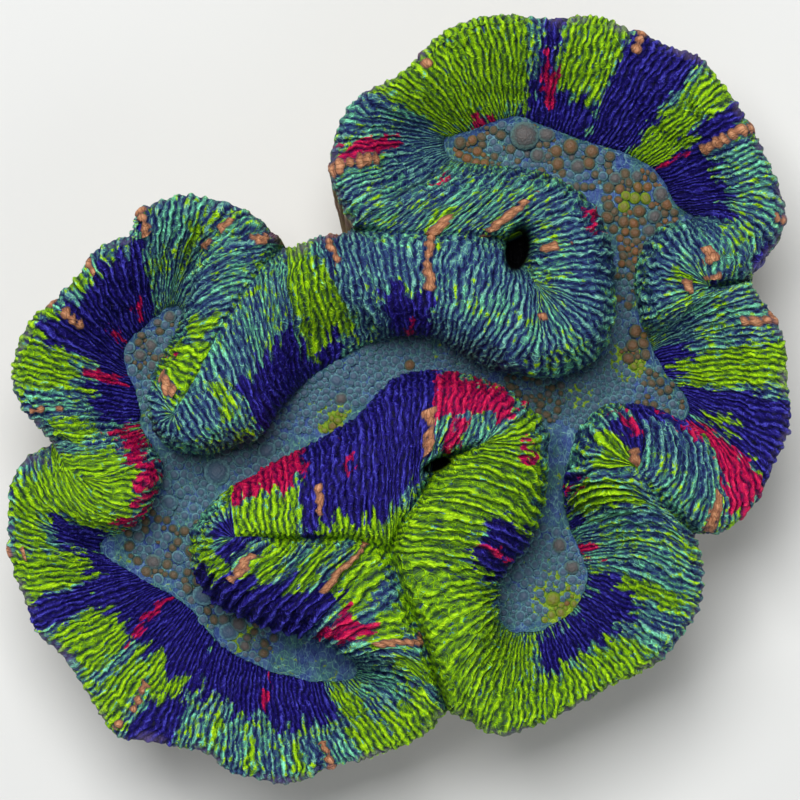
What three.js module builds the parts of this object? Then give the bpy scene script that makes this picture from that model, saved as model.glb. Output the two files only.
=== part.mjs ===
// Folded brain coral: one free-living colony, grown as a single piece round one winding valley.
//
// The flesh is one wall that runs right round the valley floor. Along the outer margin the wall is open
// lobes; where the margin folds inwards it stands as folds, whose two sides meet back to back in a seam.
// Below the rim the colony narrows like a goblet to the flat face where it was cut from the rock.
//
// Millimetres, +Z up. The finished solid is centred on the origin, with its cut face on Z = 0.

import * as THREE from 'three';

// ---- Driving dimensions ----
const VALLEY_Z = 24; // height of the valley floor
const LOBE_RIM_Z = 37; // height of the open margin, away from the notches
const NOTCH_Z = 31; // height of the margin where two lobes meet
const NOTCH_REACH = 1.2; // how many stations a notch pulls the margin down
// The crests and rims rise and fall by this height in long waves; the valley floor stays.
const SWELL = { height: 2.2, lengthX: 13, lengthY: 12, shiftX: 0.6, fullRise: 20 };
const COLUMNS_PER_STATION = 2;

// The face where the colony was cut off, a little off the middle as the stalk is.
const BASE = { x: -2, y: -5, radiusX: 29, radiusY: 25, waviness: 0.05, waves: 3 };
const BASE_TURN_SMOOTHING = 16; // columns each way over which the stalk evens out the margin's turns

const SKELETON = { colour: 0xb9a98c, roughness: 0.85, metalness: 0 };

// A wall from the valley floor (0) to the rim (1): [share of the way across, share of the rise from the
// floor to the crest, share of the fall from the crest to the rim]. An open lobe leans outwards. A fold
// is puffed up and overhangs its own foot.
const LOBE_WALL = [
  [0.0, 0.0, 0.0],
  [0.06, 0.13, 0.0],
  [0.25, 0.38, 0.0],
  [0.48, 0.66, 0.0],
  [0.7, 0.89, 0.0],
  [0.87, 1.0, 0.05],
  [0.97, 1.0, 0.4],
  [1.0, 1.0, 1.0],
];
const FOLD_WALL = [
  [0.07, 0.0, 0.0],
  [0.01, 0.22, 0.0],
  [0.0, 0.46, 0.0],
  [0.07, 0.73, 0.0],
  [0.24, 0.93, 0.0],
  [0.52, 1.0, 0.0],
  [0.86, 1.0, 0.16],
  [1.0, 1.0, 1.0],
];

// Below the rim: [share of the way in to the cut face, share of the rim's height].
const UNDERSIDE = [
  [0.0, 0.9],
  [0.06, 0.8],
  [0.17, 0.62],
  [0.35, 0.44],
  [0.58, 0.31],
  [0.8, 0.22],
  [0.95, 0.12],
  [1.0, 0.0],
];

// ---- The seams where folded margins meet, from the notch inwards: [x, y, z] ----
const SEAMS = {
  arch: [[-9, 31, 31], [-1.5, 30, 42], [6.5, 29.5, 44.5], [14, 29.5, 43.5], [19.5, 28.5, 38], [22, 25.5, 38],
    [24, 21, 45]],
  northEastKnob: [[64, 22, 31], [61, 21, 35], [58, 20.5, 36], [55.5, 20.5, 40]],
  east: [[53.5, -24.5, 31], [50, -21.5, 37], [47, -18.5, 40], [45, -16, 41], [42.5, -12, 42]],
  south: [[8.5, -56.5, 31], [7, -52, 37], [5.5, -47, 42], [3, -40.5, 43], [0.5, -34.5, 43], [-2, -27.5, 38]],
  green: [[-2, -27.5, 38], [-0.5, -23.5, 42], [2, -19.5, 44], [4.5, -15.5, 42], [7, -11, 37], [11, -9.5, 41],
    [15, -7.5, 45.5]],
  middle: [[-2, -27.5, 38], [-7, -25.5, 42], [-11.5, -25, 42.5], [-16.5, -25, 43], [-21, -25, 43],
    [-25.5, -24.5, 43.5], [-29.5, -24.5, 44]],
  westKnob: [[-63, -8, 31], [-61.5, -9.5, 37], [-60, -12, 40], [-57, -14, 41.5]],
  west: [[-21, 28, 31], [-25.5, 22.5, 42], [-29.5, 16.5, 44], [-33, 11, 44.5], [-35.5, 6, 44.5],
    [-38, 1.5, 44], [-40.5, -2.5, 43.5]],
};

// ---- The wall, clockwise from above, one stretch after another ----
// An open lobe's stations are [floor x, floor y, rim x, rim y, bow]. A side or a tip of a fold takes its
// rim from the seam, so its stations are [floor x, floor y, bow]. Bow is how far the flesh's ridges arch
// to the right of the straight line from floor to rim. Each stretch starts at the last one's end.
const lobe = (height, stations) => ({ height, puff: 0, stations });
const sideGoingIn = (seam, height, stations) => ({ height, puff: 1, seam, way: 'in', stations });
const sideComingOut = (seam, height, stations) => ({ height, puff: 1, seam, way: 'out', stations });
const foldTip = (seam, height, stations) => ({ height, puff: 1, seam, way: 'tip', stations });

const WALL = [
  // North lobe
  lobe(41, [[10, 44.5, -9, 31, 0], [9, 45.5, -11, 35.5, 0], [8.5, 46.5, -12.5, 40, 0],
    [8.5, 47.5, -12.5, 44.5, 0], [9, 48, -11, 49.5, 0], [10, 48, -7.5, 54.5, 0], [11.5, 48.5, -2.5, 58, 0],
    [13.5, 49, 2.5, 61, 0], [16, 50, 6.5, 66, 0], [19, 51, 13, 69, 0], [21.5, 51.5, 20.5, 69.5, 0],
    [25.5, 50, 27.5, 68.5, 0], [29.5, 48.5, 35, 69.5, 0], [33.5, 47, 41.5, 67, 0], [37, 46, 48, 64.5, 0],
    [40.5, 45, 54, 62.5, 0], [43.5, 43.5, 58, 57, 0], [46, 42, 62, 51, 0], [48, 39.5, 65.5, 45.5, 0],
    [49, 37.5, 68, 39.5, 0], [50, 35.5, 69.5, 33.5, -1], [51.5, 34.5, 68, 27.5, -2.5],
    [53, 33.5, 64, 22, -4]]),
  // North-east knob
  sideGoingIn('northEastKnob', 42, [[53, 33.5, -4], [53, 33, -3], [52.5, 32.5, -2], [51, 32, -0.5]]),
  foldTip('northEastKnob', 43, [[51, 32, -0.5], [48.5, 31.5, 0], [46, 30, 0], [44, 27.5, 0], [43, 25, 0],
    [42.5, 21.5, 0], [43, 18, 0.5], [43.5, 15, 0.5]]),
  sideComingOut('northEastKnob', 42, [[43.5, 15, 0.5], [44, 13, 0], [44.5, 12, -0.5], [45, 10.5, -1]]),
  // East lobe
  lobe(40, [[45, 10.5, 64, 22, -1], [45.5, 9.5, 66, 17.5, -1.5], [46, 8.5, 68.5, 13, -1.5],
    [47, 7, 70, 8.5, -1], [48, 5, 70, 4, -0.5], [49.5, 3, 70.5, -1, 0], [51, 1.5, 70, -6, 0],
    [52, 0, 68, -11, 0], [52.5, -1.5, 66, -16, -1.5], [52, -2.5, 62.5, -21, -2.5], [51, -3, 58, -24, -3.5],
    [49.5, -2.5, 53.5, -24.5, -4.5]]),
  // East fold
  sideGoingIn('east', 43, [[49.5, -2.5, -4.5], [47.5, -1.5, -4.5], [45.5, -1, -4.5], [43, -0.5, -4],
    [41, -0.5, -2.5]]),
  foldTip('east', 44, [[41, -0.5, -2.5], [38, -0.5, -1], [35.5, -2, 0], [33.5, -4, 0], [32, -6.5, 0],
    [31, -9.5, 0], [30, -13, 0]]),
  sideComingOut('east', 43, [[30, -13, 0], [29.5, -16, -1.5], [29.5, -19, -3], [30, -22, -4.5],
    [30.5, -24.5, -4.5]]),
  // South lobe
  lobe(41, [[30.5, -24.5, 53.5, -24.5, -4.5], [32, -27, 54.5, -29, -3], [33, -29.5, 54.5, -34, -1.5],
    [34, -31.5, 53.5, -38, -0.5], [33.5, -34, 51, -42.5, 0], [32.5, -36.5, 47.5, -47, 0],
    [31, -38.5, 42.5, -49.5, 0], [29, -40, 37.5, -52.5, 0], [27, -41, 32, -55.5, 0], [25, -42, 26.5, -58, 0],
    [22.5, -42, 21, -60, 0], [21, -42, 16, -60, 0], [19.5, -41, 12, -58, 0], [18.5, -39.5, 8.5, -56.5, 0]]),
  // Green fold
  sideGoingIn('south', 46, [[18.5, -39.5, 0], [18, -38, 0], [18, -36.5, 0], [18, -34.5, 1.5],
    [18, -33, 1.5], [19, -31.5, 1]]),
  sideGoingIn('green', 47, [[19, -31.5, 1], [21, -29, 1.5], [23.5, -26, 2], [25, -22.5, 2.5],
    [26.5, -18.5, 2.5], [27, -14, 1.5], [27, -10, 0.5]]),
  foldTip('green', 47, [[27, -10, 0.5], [26.5, -6.5, 0], [25, -4, 0], [23.5, -1.5, 0], [21, 1, 0],
    [19, 2.5, 0]]),
  // Middle fold
  sideComingOut('green', 46, [[19, 2.5, 0], [15, 4, 0], [11, 5, 0], [6.5, 5.5, 0], [2.5, 5, 0],
    [-1, 4, 0], [-4, 1.5, 0]]),
  sideGoingIn('middle', 45, [[-4, 1.5, 0], [-8, -3, 0], [-12.5, -6, 0], [-17.5, -8.5, 0], [-22, -11, 0],
    [-26.5, -13.5, 0], [-30.5, -15.5, 0]]),
  foldTip('middle', 45, [[-30.5, -15.5, 0], [-33, -17.5, 0], [-35, -19.5, 0], [-36.5, -21.5, 0],
    [-38, -24.5, 0], [-38, -27.5, 0], [-38, -30.5, 0]]),
  sideComingOut('middle', 45, [[-38, -30.5, 0], [-36.5, -33.5, 0], [-34, -36.5, 0], [-30, -39, 0],
    [-25.5, -41, 0], [-21.5, -42, 0], [-17.5, -43, 0]]),
  sideComingOut('south', 44, [[-17.5, -43, 0], [-14.5, -44, 0], [-12, -45.5, -1], [-10, -47, -2],
    [-9, -48, -2.5], [-8.5, -49.5, -2]]),
  // South-west lobe
  lobe(39, [[-8.5, -49.5, 8.5, -56.5, -2], [-9, -50.5, 4.5, -60.5, -1.5], [-11, -51, -0.5, -63, -0.5],
    [-14, -51, -6, -64.5, 0], [-16.5, -51, -11.5, -66, 0], [-20, -50, -16, -68.5, 0],
    [-23, -49.5, -21, -69.5, 0], [-26, -48, -26.5, -68.5, 0], [-28.5, -47, -31.5, -67, 0],
    [-31, -45.5, -35.5, -63.5, 0], [-33.5, -43.5, -40, -63, 0], [-35.5, -41, -45.5, -61.5, 0],
    [-37, -39, -51, -60.5, 0], [-38.5, -37.5, -54.5, -56, 0], [-40.5, -36, -57.5, -51, 0],
    [-43, -34.5, -61, -46, 0], [-45, -33.5, -65.5, -42, 0], [-47.5, -32, -68, -36, 0],
    [-50, -30.5, -70, -31, 0], [-52.5, -29, -71, -26, 0], [-54.5, -27, -71, -21.5, -0.5],
    [-53.5, -25.5, -70.5, -16.5, -2], [-51.5, -25, -69.5, -13, -3.5], [-49.5, -24, -67, -10, -4.5],
    [-47.5, -23, -63, -8, -5.5]]),
  // West knob
  sideGoingIn('westKnob', 42, [[-47.5, -23, -5.5], [-46, -21.5, -5], [-45, -19.5, -4], [-44.5, -17.5, -2]]),
  foldTip('westKnob', 43, [[-44.5, -17.5, -2], [-43.5, -15.5, -0.5], [-43, -13, 0], [-43.5, -10.5, 0]]),
  sideComingOut('westKnob', 42, [[-43.5, -10.5, 0], [-44.5, -9, 0], [-45.5, -7, 0], [-46.5, -5.5, 0]]),
  // North-west lobe
  lobe(40, [[-46.5, -5.5, -63, -8, 0], [-47, -4, -66, -4.5, 0], [-47, -2, -68.5, -1, 0],
    [-47.5, 0, -70, 3, 0], [-48, 2, -70, 7, 0], [-49, 4, -68.5, 11.5, 0], [-49.5, 5.5, -66, 15.5, 0],
    [-50, 7, -62.5, 17.5, 0], [-50, 9, -60, 20.5, 0], [-49.5, 10, -57, 23.5, 0],
    [-48.5, 11.5, -55.5, 26.5, 0], [-47, 12.5, -52, 29, 0], [-46, 13.5, -49, 30, 0],
    [-45, 14.5, -47.5, 33.5, 0], [-43.5, 15.5, -43.5, 36, 0], [-42.5, 16.5, -38, 37, 0],
    [-42, 16.5, -32.5, 36, -1], [-41, 16.5, -27.5, 34.5, -2], [-40.5, 16, -24, 32, -3.5],
    [-40, 15.5, -21, 28, -4.5]]),
  // West fold
  sideGoingIn('west', 45, [[-40, 15.5, -4.5], [-40.5, 14, -2.5], [-41, 12, -1], [-42, 10.5, 0],
    [-43, 8, 0], [-44.5, 6, 0], [-45, 3, 0]]),
  foldTip('west', 44, [[-45, 3, 0], [-45.5, 0.5, 0], [-45.5, -2.5, 0], [-45, -5, 0], [-43.5, -7.5, 0],
    [-41.5, -9, 0], [-38.5, -9.5, 0], [-35.5, -10, 0]]),
  sideComingOut('west', 45, [[-35.5, -10, 0], [-31.5, -9, 0], [-28.5, -7.5, 0], [-25, -6, 0],
    [-22.5, -3, 0], [-19.5, 0, 0], [-17, 2.5, 0]]),
  // Arch fold, with the short open edge that it has beside the west fold
  lobe(42, [[-17, 2.5, -21, 28, 0], [-14, 5, -18, 28.5, 0], [-10.5, 7, -15, 29.5, 0],
    [-7, 9, -11.5, 30, 0], [-3, 10.5, -9, 31, 0]]),
  sideGoingIn('arch', 46, [[-3, 10.5, 0], [1, 11.5, 0], [5.5, 11.5, 0], [9, 9.5, 0.5], [12.5, 7.5, 2],
    [16.5, 5.5, 3], [21, 4.5, 1.5]]),
  foldTip('arch', 47, [[21, 4.5, 1.5], [26.5, 4, 0], [31.5, 5, 0], [35.5, 7, 0], [38, 11, 0], [39, 16, 0],
    [39, 21, 0]]),
  sideComingOut('arch', 46, [[39, 21, 0], [38.5, 27.5, 0], [35, 35.5, 0], [27.5, 41, 0], [20, 42.5, 0],
    [14, 43.5, 0], [10, 44.5, 0]]),
];

const mix = (a, b, share) => a + (b - a) * share;
const smoothCurve = (points, closed) => new THREE.CatmullRomCurve3(points, closed, 'centripetal');

// The open margin keeps its height except near the notches at a lobe's two ends.
function lobeRimHeight(index, last) {
  const fromEnd = Math.min(index, last - index);
  return mix(LOBE_RIM_Z, NOTCH_Z, Math.exp(-((fromEnd / NOTCH_REACH) ** 2)));
}

function rimPoints(stretch) {
  const last = stretch.stations.length - 1;
  if (!stretch.seam) {
    return stretch.stations.map(([, , x, y], index) => new THREE.Vector3(x, y, lobeRimHeight(index, last)));
  }
  const seam = SEAMS[stretch.seam].map((point) => new THREE.Vector3(...point));
  if (stretch.way === 'in') return seam;
  if (stretch.way === 'out') return seam.reverse();
  return stretch.stations.map(() => seam[seam.length - 1].clone());
}

// A rim's points at every column. A side that comes out of a fold takes those of the side that went in,
// turned round, so that both sides end on the very same seam.
function sampleRim(stretch) {
  const points = rimPoints(stretch);
  if (stretch.way === 'tip') {
    return Array.from({ length: (points.length - 1) * COLUMNS_PER_STATION + 1 }, () => points[0]);
  }
  if (stretch.way === 'out') points.reverse();
  const samples = smoothCurve(points, false).getPoints((points.length - 1) * COLUMNS_PER_STATION);
  return stretch.way === 'out' ? samples.reverse() : samples;
}

// A list that closes on itself, evened out over a few neighbours each way.
function smoothRound(values, reach) {
  return values.map((_, index) => {
    let sum = 0;
    let weights = 0;
    for (let step = -reach; step <= reach; step++) {
      const weight = reach + 1 - Math.abs(step);
      sum += weight * values[(index + step + values.length) % values.length];
      weights += weight;
    }
    return sum / weights;
  });
}

// One column of the wall for every step along it: its foot, rim, bow, crest height and puff.
function wallColumns() {
  const stations = WALL.flatMap((stretch) => stretch.stations.slice(0, -1).map((station) => ({
    floor: new THREE.Vector3(station[0], station[1], 0),
    height: stretch.height,
    puff: stretch.puff,
  })));
  const heights = smoothRound(stations.map(({ height }) => height), 2);
  const puffs = smoothRound(stations.map(({ puff }) => puff), 2);
  const floorLine = smoothCurve(stations.map(({ floor }) => floor), true);

  const columns = [];
  let station = 0;
  for (const stretch of WALL) {
    const rim = sampleRim(stretch);
    for (let index = 0; index + 1 < stretch.stations.length; index++) {
      const next = (station + 1) % stations.length;
      for (let step = 0; step < COLUMNS_PER_STATION; step++) {
        const share = step / COLUMNS_PER_STATION;
        columns.push({
          floor: floorLine.getPoint((station + share) / stations.length),
          rim: rim[index * COLUMNS_PER_STATION + step],
          bow: mix(stretch.stations[index].at(-1), stretch.stations[index + 1].at(-1), share),
          height: mix(heights[station], heights[next], share),
          puff: mix(puffs[station], puffs[next], share),
          onMargin: !stretch.seam,
        });
      }
      station += 1;
    }
  }
  return columns;
}

// The place on a column that is `across` of the way from the foot to the rim, seen from above.
function acrossColumn({ floor, rim, bow }, across) {
  const span = Math.hypot(rim.x - floor.x, rim.y - floor.y);
  const arch = (bow * 4 * across * (1 - across)) / span;
  return {
    x: mix(floor.x, rim.x, across) + arch * (rim.y - floor.y),
    y: mix(floor.y, rim.y, across) - arch * (rim.x - floor.x),
  };
}

// One point of a column for each row of the wall's section, except the rim itself.
function columnPoints(column) {
  return LOBE_WALL.slice(0, -1).map((lobeRow, row) => {
    const [across, rise, fall] = lobeRow.map((value, item) => mix(value, FOLD_WALL[row][item], column.puff));
    const { x, y } = acrossColumn(column, across);
    const drop = (column.height - column.rim.z) * fall;
    return new THREE.Vector3(x, y, mix(VALLEY_Z, column.height, rise) - drop);
  });
}

// Gathers points and triangles; a point given twice is stored once.
function makeMeshBuilder() {
  const positions = [];
  const indices = [];
  const known = new Map();
  return {
    point({ x, y, z }) {
      const key = [x, y, z].map((value) => value.toFixed(4)).join(' ');
      if (!known.has(key)) {
        known.set(key, positions.length / 3);
        positions.push(x, y, z);
      }
      return known.get(key);
    },
    triangle(a, b, c) {
      if (a !== b && b !== c && c !== a) indices.push(a, b, c);
    },
    strip(first, second) {
      first.forEach((corner, index) => {
        const next = (index + 1) % first.length;
        this.triangle(corner, first[next], second[next]);
        this.triangle(corner, second[next], second[index]);
      });
    },
    geometry() {
      const geometry = new THREE.BufferGeometry();
      geometry.setAttribute('position', new THREE.Float32BufferAttribute(positions, 3));
      geometry.setIndex(indices);
      return geometry;
    },
  };
}

function addWall(builder, columns) {
  const rows = LOBE_WALL.length - 1;
  const points = columns.map((column) => columnPoints(column).map((point) => builder.point(point)));
  const rings = Array.from({ length: rows }, (_, row) => points.map((column) => column[row]));
  rings.push(columns.map(({ rim }) => builder.point(rim)));
  for (let row = 0; row < rows; row++) builder.strip(rings[row], rings[row + 1]);
  return rings[0];
}

function addValleyFloor(builder, columns, feet) {
  const outline = columns.map((column) => {
    const { x, y } = columnPoints(column)[0];
    return new THREE.Vector2(x, y);
  });
  const triangles = THREE.ShapeUtils.triangulateShape(outline, []);
  const areas = triangles.map((corners) => THREE.ShapeUtils.area(corners.map((corner) => outline[corner])));
  const upwards = areas.reduce((sum, area) => sum + area, 0) > 0;
  for (const corners of triangles) {
    const [a, b, c] = corners.map((corner) => feet[corner]);
    if (upwards) builder.triangle(a, b, c);
    else builder.triangle(a, c, b);
  }
}

// The margin as one closed line: the open lobes' rims, each notch once.
function marginLine(columns) {
  return columns.filter((column, index) => {
    const before = columns[(index - 1 + columns.length) % columns.length];
    return column.onMargin || before.onMargin;
  }).map(({ rim }) => rim).filter((rim, index, all) => rim.distanceTo(all.at(index - 1)) > 0.01);
}

// Where each point of the margin comes down to on the cut face.
function cutFaceLine(margin) {
  let turns = 0;
  let previous = null;
  const angles = margin.map(({ x, y }) => {
    const angle = Math.atan2(y - BASE.y, x - BASE.x);
    if (previous !== null && angle - previous > Math.PI) turns -= 1;
    if (previous !== null && previous - angle > Math.PI) turns += 1;
    previous = angle;
    return angle + turns * 2 * Math.PI;
  });
  const evenStep = (-2 * Math.PI) / margin.length;
  const strays = smoothRound(angles.map((angle, index) => angle - evenStep * index), BASE_TURN_SMOOTHING);
  return strays.map((stray, index) => {
    const angle = stray + evenStep * index;
    const wave = 1 + BASE.waviness * Math.sin(BASE.waves * angle);
    return {
      x: BASE.x + BASE.radiusX * wave * Math.cos(angle),
      y: BASE.y + BASE.radiusY * wave * Math.sin(angle),
    };
  });
}

function addUnderside(builder, margin) {
  const cut = cutFaceLine(margin);
  let above = margin.map((point) => builder.point(point));
  for (const [inwards, rise] of UNDERSIDE) {
    const ring = margin.map((rim, index) => builder.point({
      x: mix(rim.x, cut[index].x, inwards),
      y: mix(rim.y, cut[index].y, inwards),
      z: rim.z * rise,
    }));
    builder.strip(above, ring);
    above = ring;
  }
  const centre = builder.point({ x: BASE.x, y: BASE.y, z: 0 });
  above.forEach((corner, index) => builder.triangle(centre, corner, above[(index + 1) % above.length]));
}

// Lifts and lowers the crests and rims in long waves; the valley floor and all below it stay.
function swell(geometry) {
  const position = geometry.attributes.position;
  for (let index = 0; index < position.count; index++) {
    const [x, y, z] = [position.getX(index), position.getY(index), position.getZ(index)];
    const share = Math.max(0, (z - VALLEY_Z) / SWELL.fullRise);
    const wave = Math.sin(x / SWELL.lengthX + SWELL.shiftX) * Math.cos(y / SWELL.lengthY);
    position.setZ(index, z + SWELL.height * wave * share);
  }
}

function coralGeometry() {
  const builder = makeMeshBuilder();
  const columns = wallColumns();
  const feet = addWall(builder, columns);
  addValleyFloor(builder, columns, feet);
  addUnderside(builder, marginLine(columns));

  const geometry = builder.geometry();
  swell(geometry);
  geometry.computeBoundingBox();
  const middle = geometry.boundingBox.getCenter(new THREE.Vector3());
  geometry.translate(-middle.x, -middle.y, 0);
  geometry.computeVertexNormals();
  return geometry;
}

const coralMaterial = new THREE.MeshStandardMaterial({
  color: SKELETON.colour,
  roughness: SKELETON.roughness,
  metalness: SKELETON.metalness,
});

const coral = new THREE.Mesh(coralGeometry(), coralMaterial);
coral.name = 'brain_coral';

const part = new THREE.Group();
part.add(coral);

export default part;
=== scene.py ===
# A folded brain coral, one living colony: fleshy ridged walls round one winding valley, on a stony goblet.
#
# The wall runs right round the valley floor, clockwise from above, one stretch after another. Where the
# margin is open the wall is a lobe. Where the margin folds inwards, two sides stand back to back and meet
# in a seam. All working sizes are in millimetres in plan coordinates of the colony; metres() turns them
# into the frame at the end.

import math

import bpy
import numpy as np
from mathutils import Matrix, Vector, geometry, kdtree


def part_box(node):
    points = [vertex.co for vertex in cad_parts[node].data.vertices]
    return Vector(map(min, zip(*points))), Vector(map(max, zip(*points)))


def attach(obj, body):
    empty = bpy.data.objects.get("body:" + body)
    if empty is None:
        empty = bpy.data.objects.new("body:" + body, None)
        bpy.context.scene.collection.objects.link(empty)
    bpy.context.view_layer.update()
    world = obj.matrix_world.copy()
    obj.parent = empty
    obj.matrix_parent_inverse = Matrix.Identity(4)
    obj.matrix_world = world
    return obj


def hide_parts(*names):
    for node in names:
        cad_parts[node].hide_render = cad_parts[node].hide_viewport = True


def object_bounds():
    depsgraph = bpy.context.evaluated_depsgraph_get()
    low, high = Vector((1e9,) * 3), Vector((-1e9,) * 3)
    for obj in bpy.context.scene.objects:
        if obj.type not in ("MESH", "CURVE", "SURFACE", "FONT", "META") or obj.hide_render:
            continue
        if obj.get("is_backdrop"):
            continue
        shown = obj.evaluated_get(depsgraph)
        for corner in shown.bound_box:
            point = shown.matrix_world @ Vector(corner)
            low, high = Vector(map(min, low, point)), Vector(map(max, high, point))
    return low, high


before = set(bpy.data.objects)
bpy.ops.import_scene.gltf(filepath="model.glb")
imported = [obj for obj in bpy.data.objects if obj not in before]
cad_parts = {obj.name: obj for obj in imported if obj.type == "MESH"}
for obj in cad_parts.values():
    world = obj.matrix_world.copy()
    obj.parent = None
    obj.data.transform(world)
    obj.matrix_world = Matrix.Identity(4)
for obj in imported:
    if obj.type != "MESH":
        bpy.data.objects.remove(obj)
cad_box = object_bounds()

# ---- Driving dimensions, in millimetres ----
NODE = "brain_coral"
VALLEY_Z = 24.0
LOBE_RIM_Z = 37.0
NOTCH_Z = 31.0
NOTCH_REACH = 1.2  # in stations
SWELL_HEIGHT = 2.2
SWELL_X, SWELL_Y, SWELL_SHIFT, SWELL_FULL_RISE = 13.0, 12.0, 0.6, 20.0

BASE_X, BASE_Y = -2.0, -5.0
BASE_RADIUS_X, BASE_RADIUS_Y = 29.0, 25.0
BASE_WAVINESS, BASE_WAVES = 0.05, 3
BASE_TURN_SMOOTHING = 12.0  # mm along the margin

COLUMN_WIDTH = 0.2  # widest step along the wall
ROWS_PER_STEP = 8  # rows of mesh between two rows of a wall's section
RIDGE_SPACING = 1.2  # from ridge to ridge along the crest
RIDGE_DEPTH = 0.62
SKIN = 1.4  # how far the hidden inner surface lies behind the flesh
FLAT_CORNER = math.radians(80)  # a sharper corner keeps its edge

FLOOR_GRAIN = 0.5  # from point to point of the valley floor
FLOOR_EDGE_STEP = 0.45
FLOOR_TUCK = 0.35  # how far the floor runs in under the feet of the walls
FLOOR_DIP = 0.35
FLOOR_LIFT, FLOOR_LIFT_REACH = 1.7, 1.5  # it rises to the walls
FLOOR_THICKNESS = 3.0
BLISTER_OVERLAP = 0.74  # of the two radii, the least that two blisters stand apart

# A wall's section from foot to rim: (share of the way across, share of the rise, share of the fall).
LOBE_SECTION = [(0, 0, 0), (0.06, 0.13, 0), (0.25, 0.38, 0), (0.48, 0.66, 0), (0.7, 0.89, 0),
    (0.87, 1, 0.05), (0.97, 1, 0.4), (1, 1, 1)]
FOLD_SECTION = [(0.07, 0, 0), (0.01, 0.22, 0), (0, 0.46, 0), (0.07, 0.73, 0), (0.24, 0.93, 0),
    (0.52, 1, 0), (0.86, 1, 0.14), (1, 1, 1)]
# Below the rim: (share of the way in to the cut face, share of the rim's height).
UNDERSIDE_SECTION = [(0, 1), (0.012, 0.9), (0.06, 0.8), (0.17, 0.62), (0.35, 0.44), (0.58, 0.31),
    (0.8, 0.22), (0.95, 0.12), (1, 0)]


# ---- The wall's stretches ----
def lobe(name, height, stations):
    """An open lobe. Its stations are (foot x, foot y, rim x, rim y, bow)."""
    return {"name": name, "height": height, "puff": 0.0, "seam": None, "way": None, "stations": stations}


def fold(name, seam, way, height, stations):
    """A side or the tip of a fold, whose rim is a seam. Its stations are (foot x, foot y, bow)."""
    return {"name": name, "height": height, "puff": 1.0, "seam": seam, "way": way, "stations": stations}


def going_in(name, seam, height, stations):
    return fold(name, seam, "in", height, stations)


def coming_out(name, seam, height, stations):
    return fold(name, seam, "out", height, stations)


def fold_tip(name, seam, height, stations):
    return fold(name, seam, "tip", height, stations)


SEAMS = {
    "arch": [(-9, 31, 31), (-1.5, 30, 42), (6.5, 29.5, 44.5), (14, 29.5, 43.5), (19.5, 28.5, 38),
        (22, 25.5, 38), (24, 21, 45)],
    "knob": [(64, 22, 31), (61, 21, 35), (58, 20.5, 36), (55.5, 20.5, 40)],
    "east": [(53.5, -24.5, 31), (50, -21.5, 37), (47, -18.5, 40), (45, -16, 41), (42.5, -12, 42)],
    "south": [(8.5, -56.5, 31), (7, -52, 37), (5.5, -47, 42), (3, -40.5, 43), (0.5, -34.5, 43),
        (-2, -27.5, 38)],
    "green": [(-2, -27.5, 38), (-0.5, -23.5, 42), (2, -19.5, 44), (4.5, -15.5, 42), (7, -11, 37),
        (11, -9.5, 41), (15, -7.5, 45.5)],
    "middle": [(-2, -27.5, 38), (-7, -25.5, 42), (-11.5, -25, 42.5), (-16.5, -25, 43), (-21, -25, 43),
        (-25.5, -24.5, 43.5), (-29.5, -24.5, 44)],
    "west_knob": [(-63, -8, 31), (-61.5, -9.5, 37), (-60, -12, 40), (-57, -14, 41.5)],
    "west": [(-21, 28, 31), (-25.5, 22.5, 42), (-29.5, 16.5, 44), (-33, 11, 44.5), (-35.5, 6, 44.5),
        (-38, 1.5, 44), (-40.5, -2.5, 43.5)],
}
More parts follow.
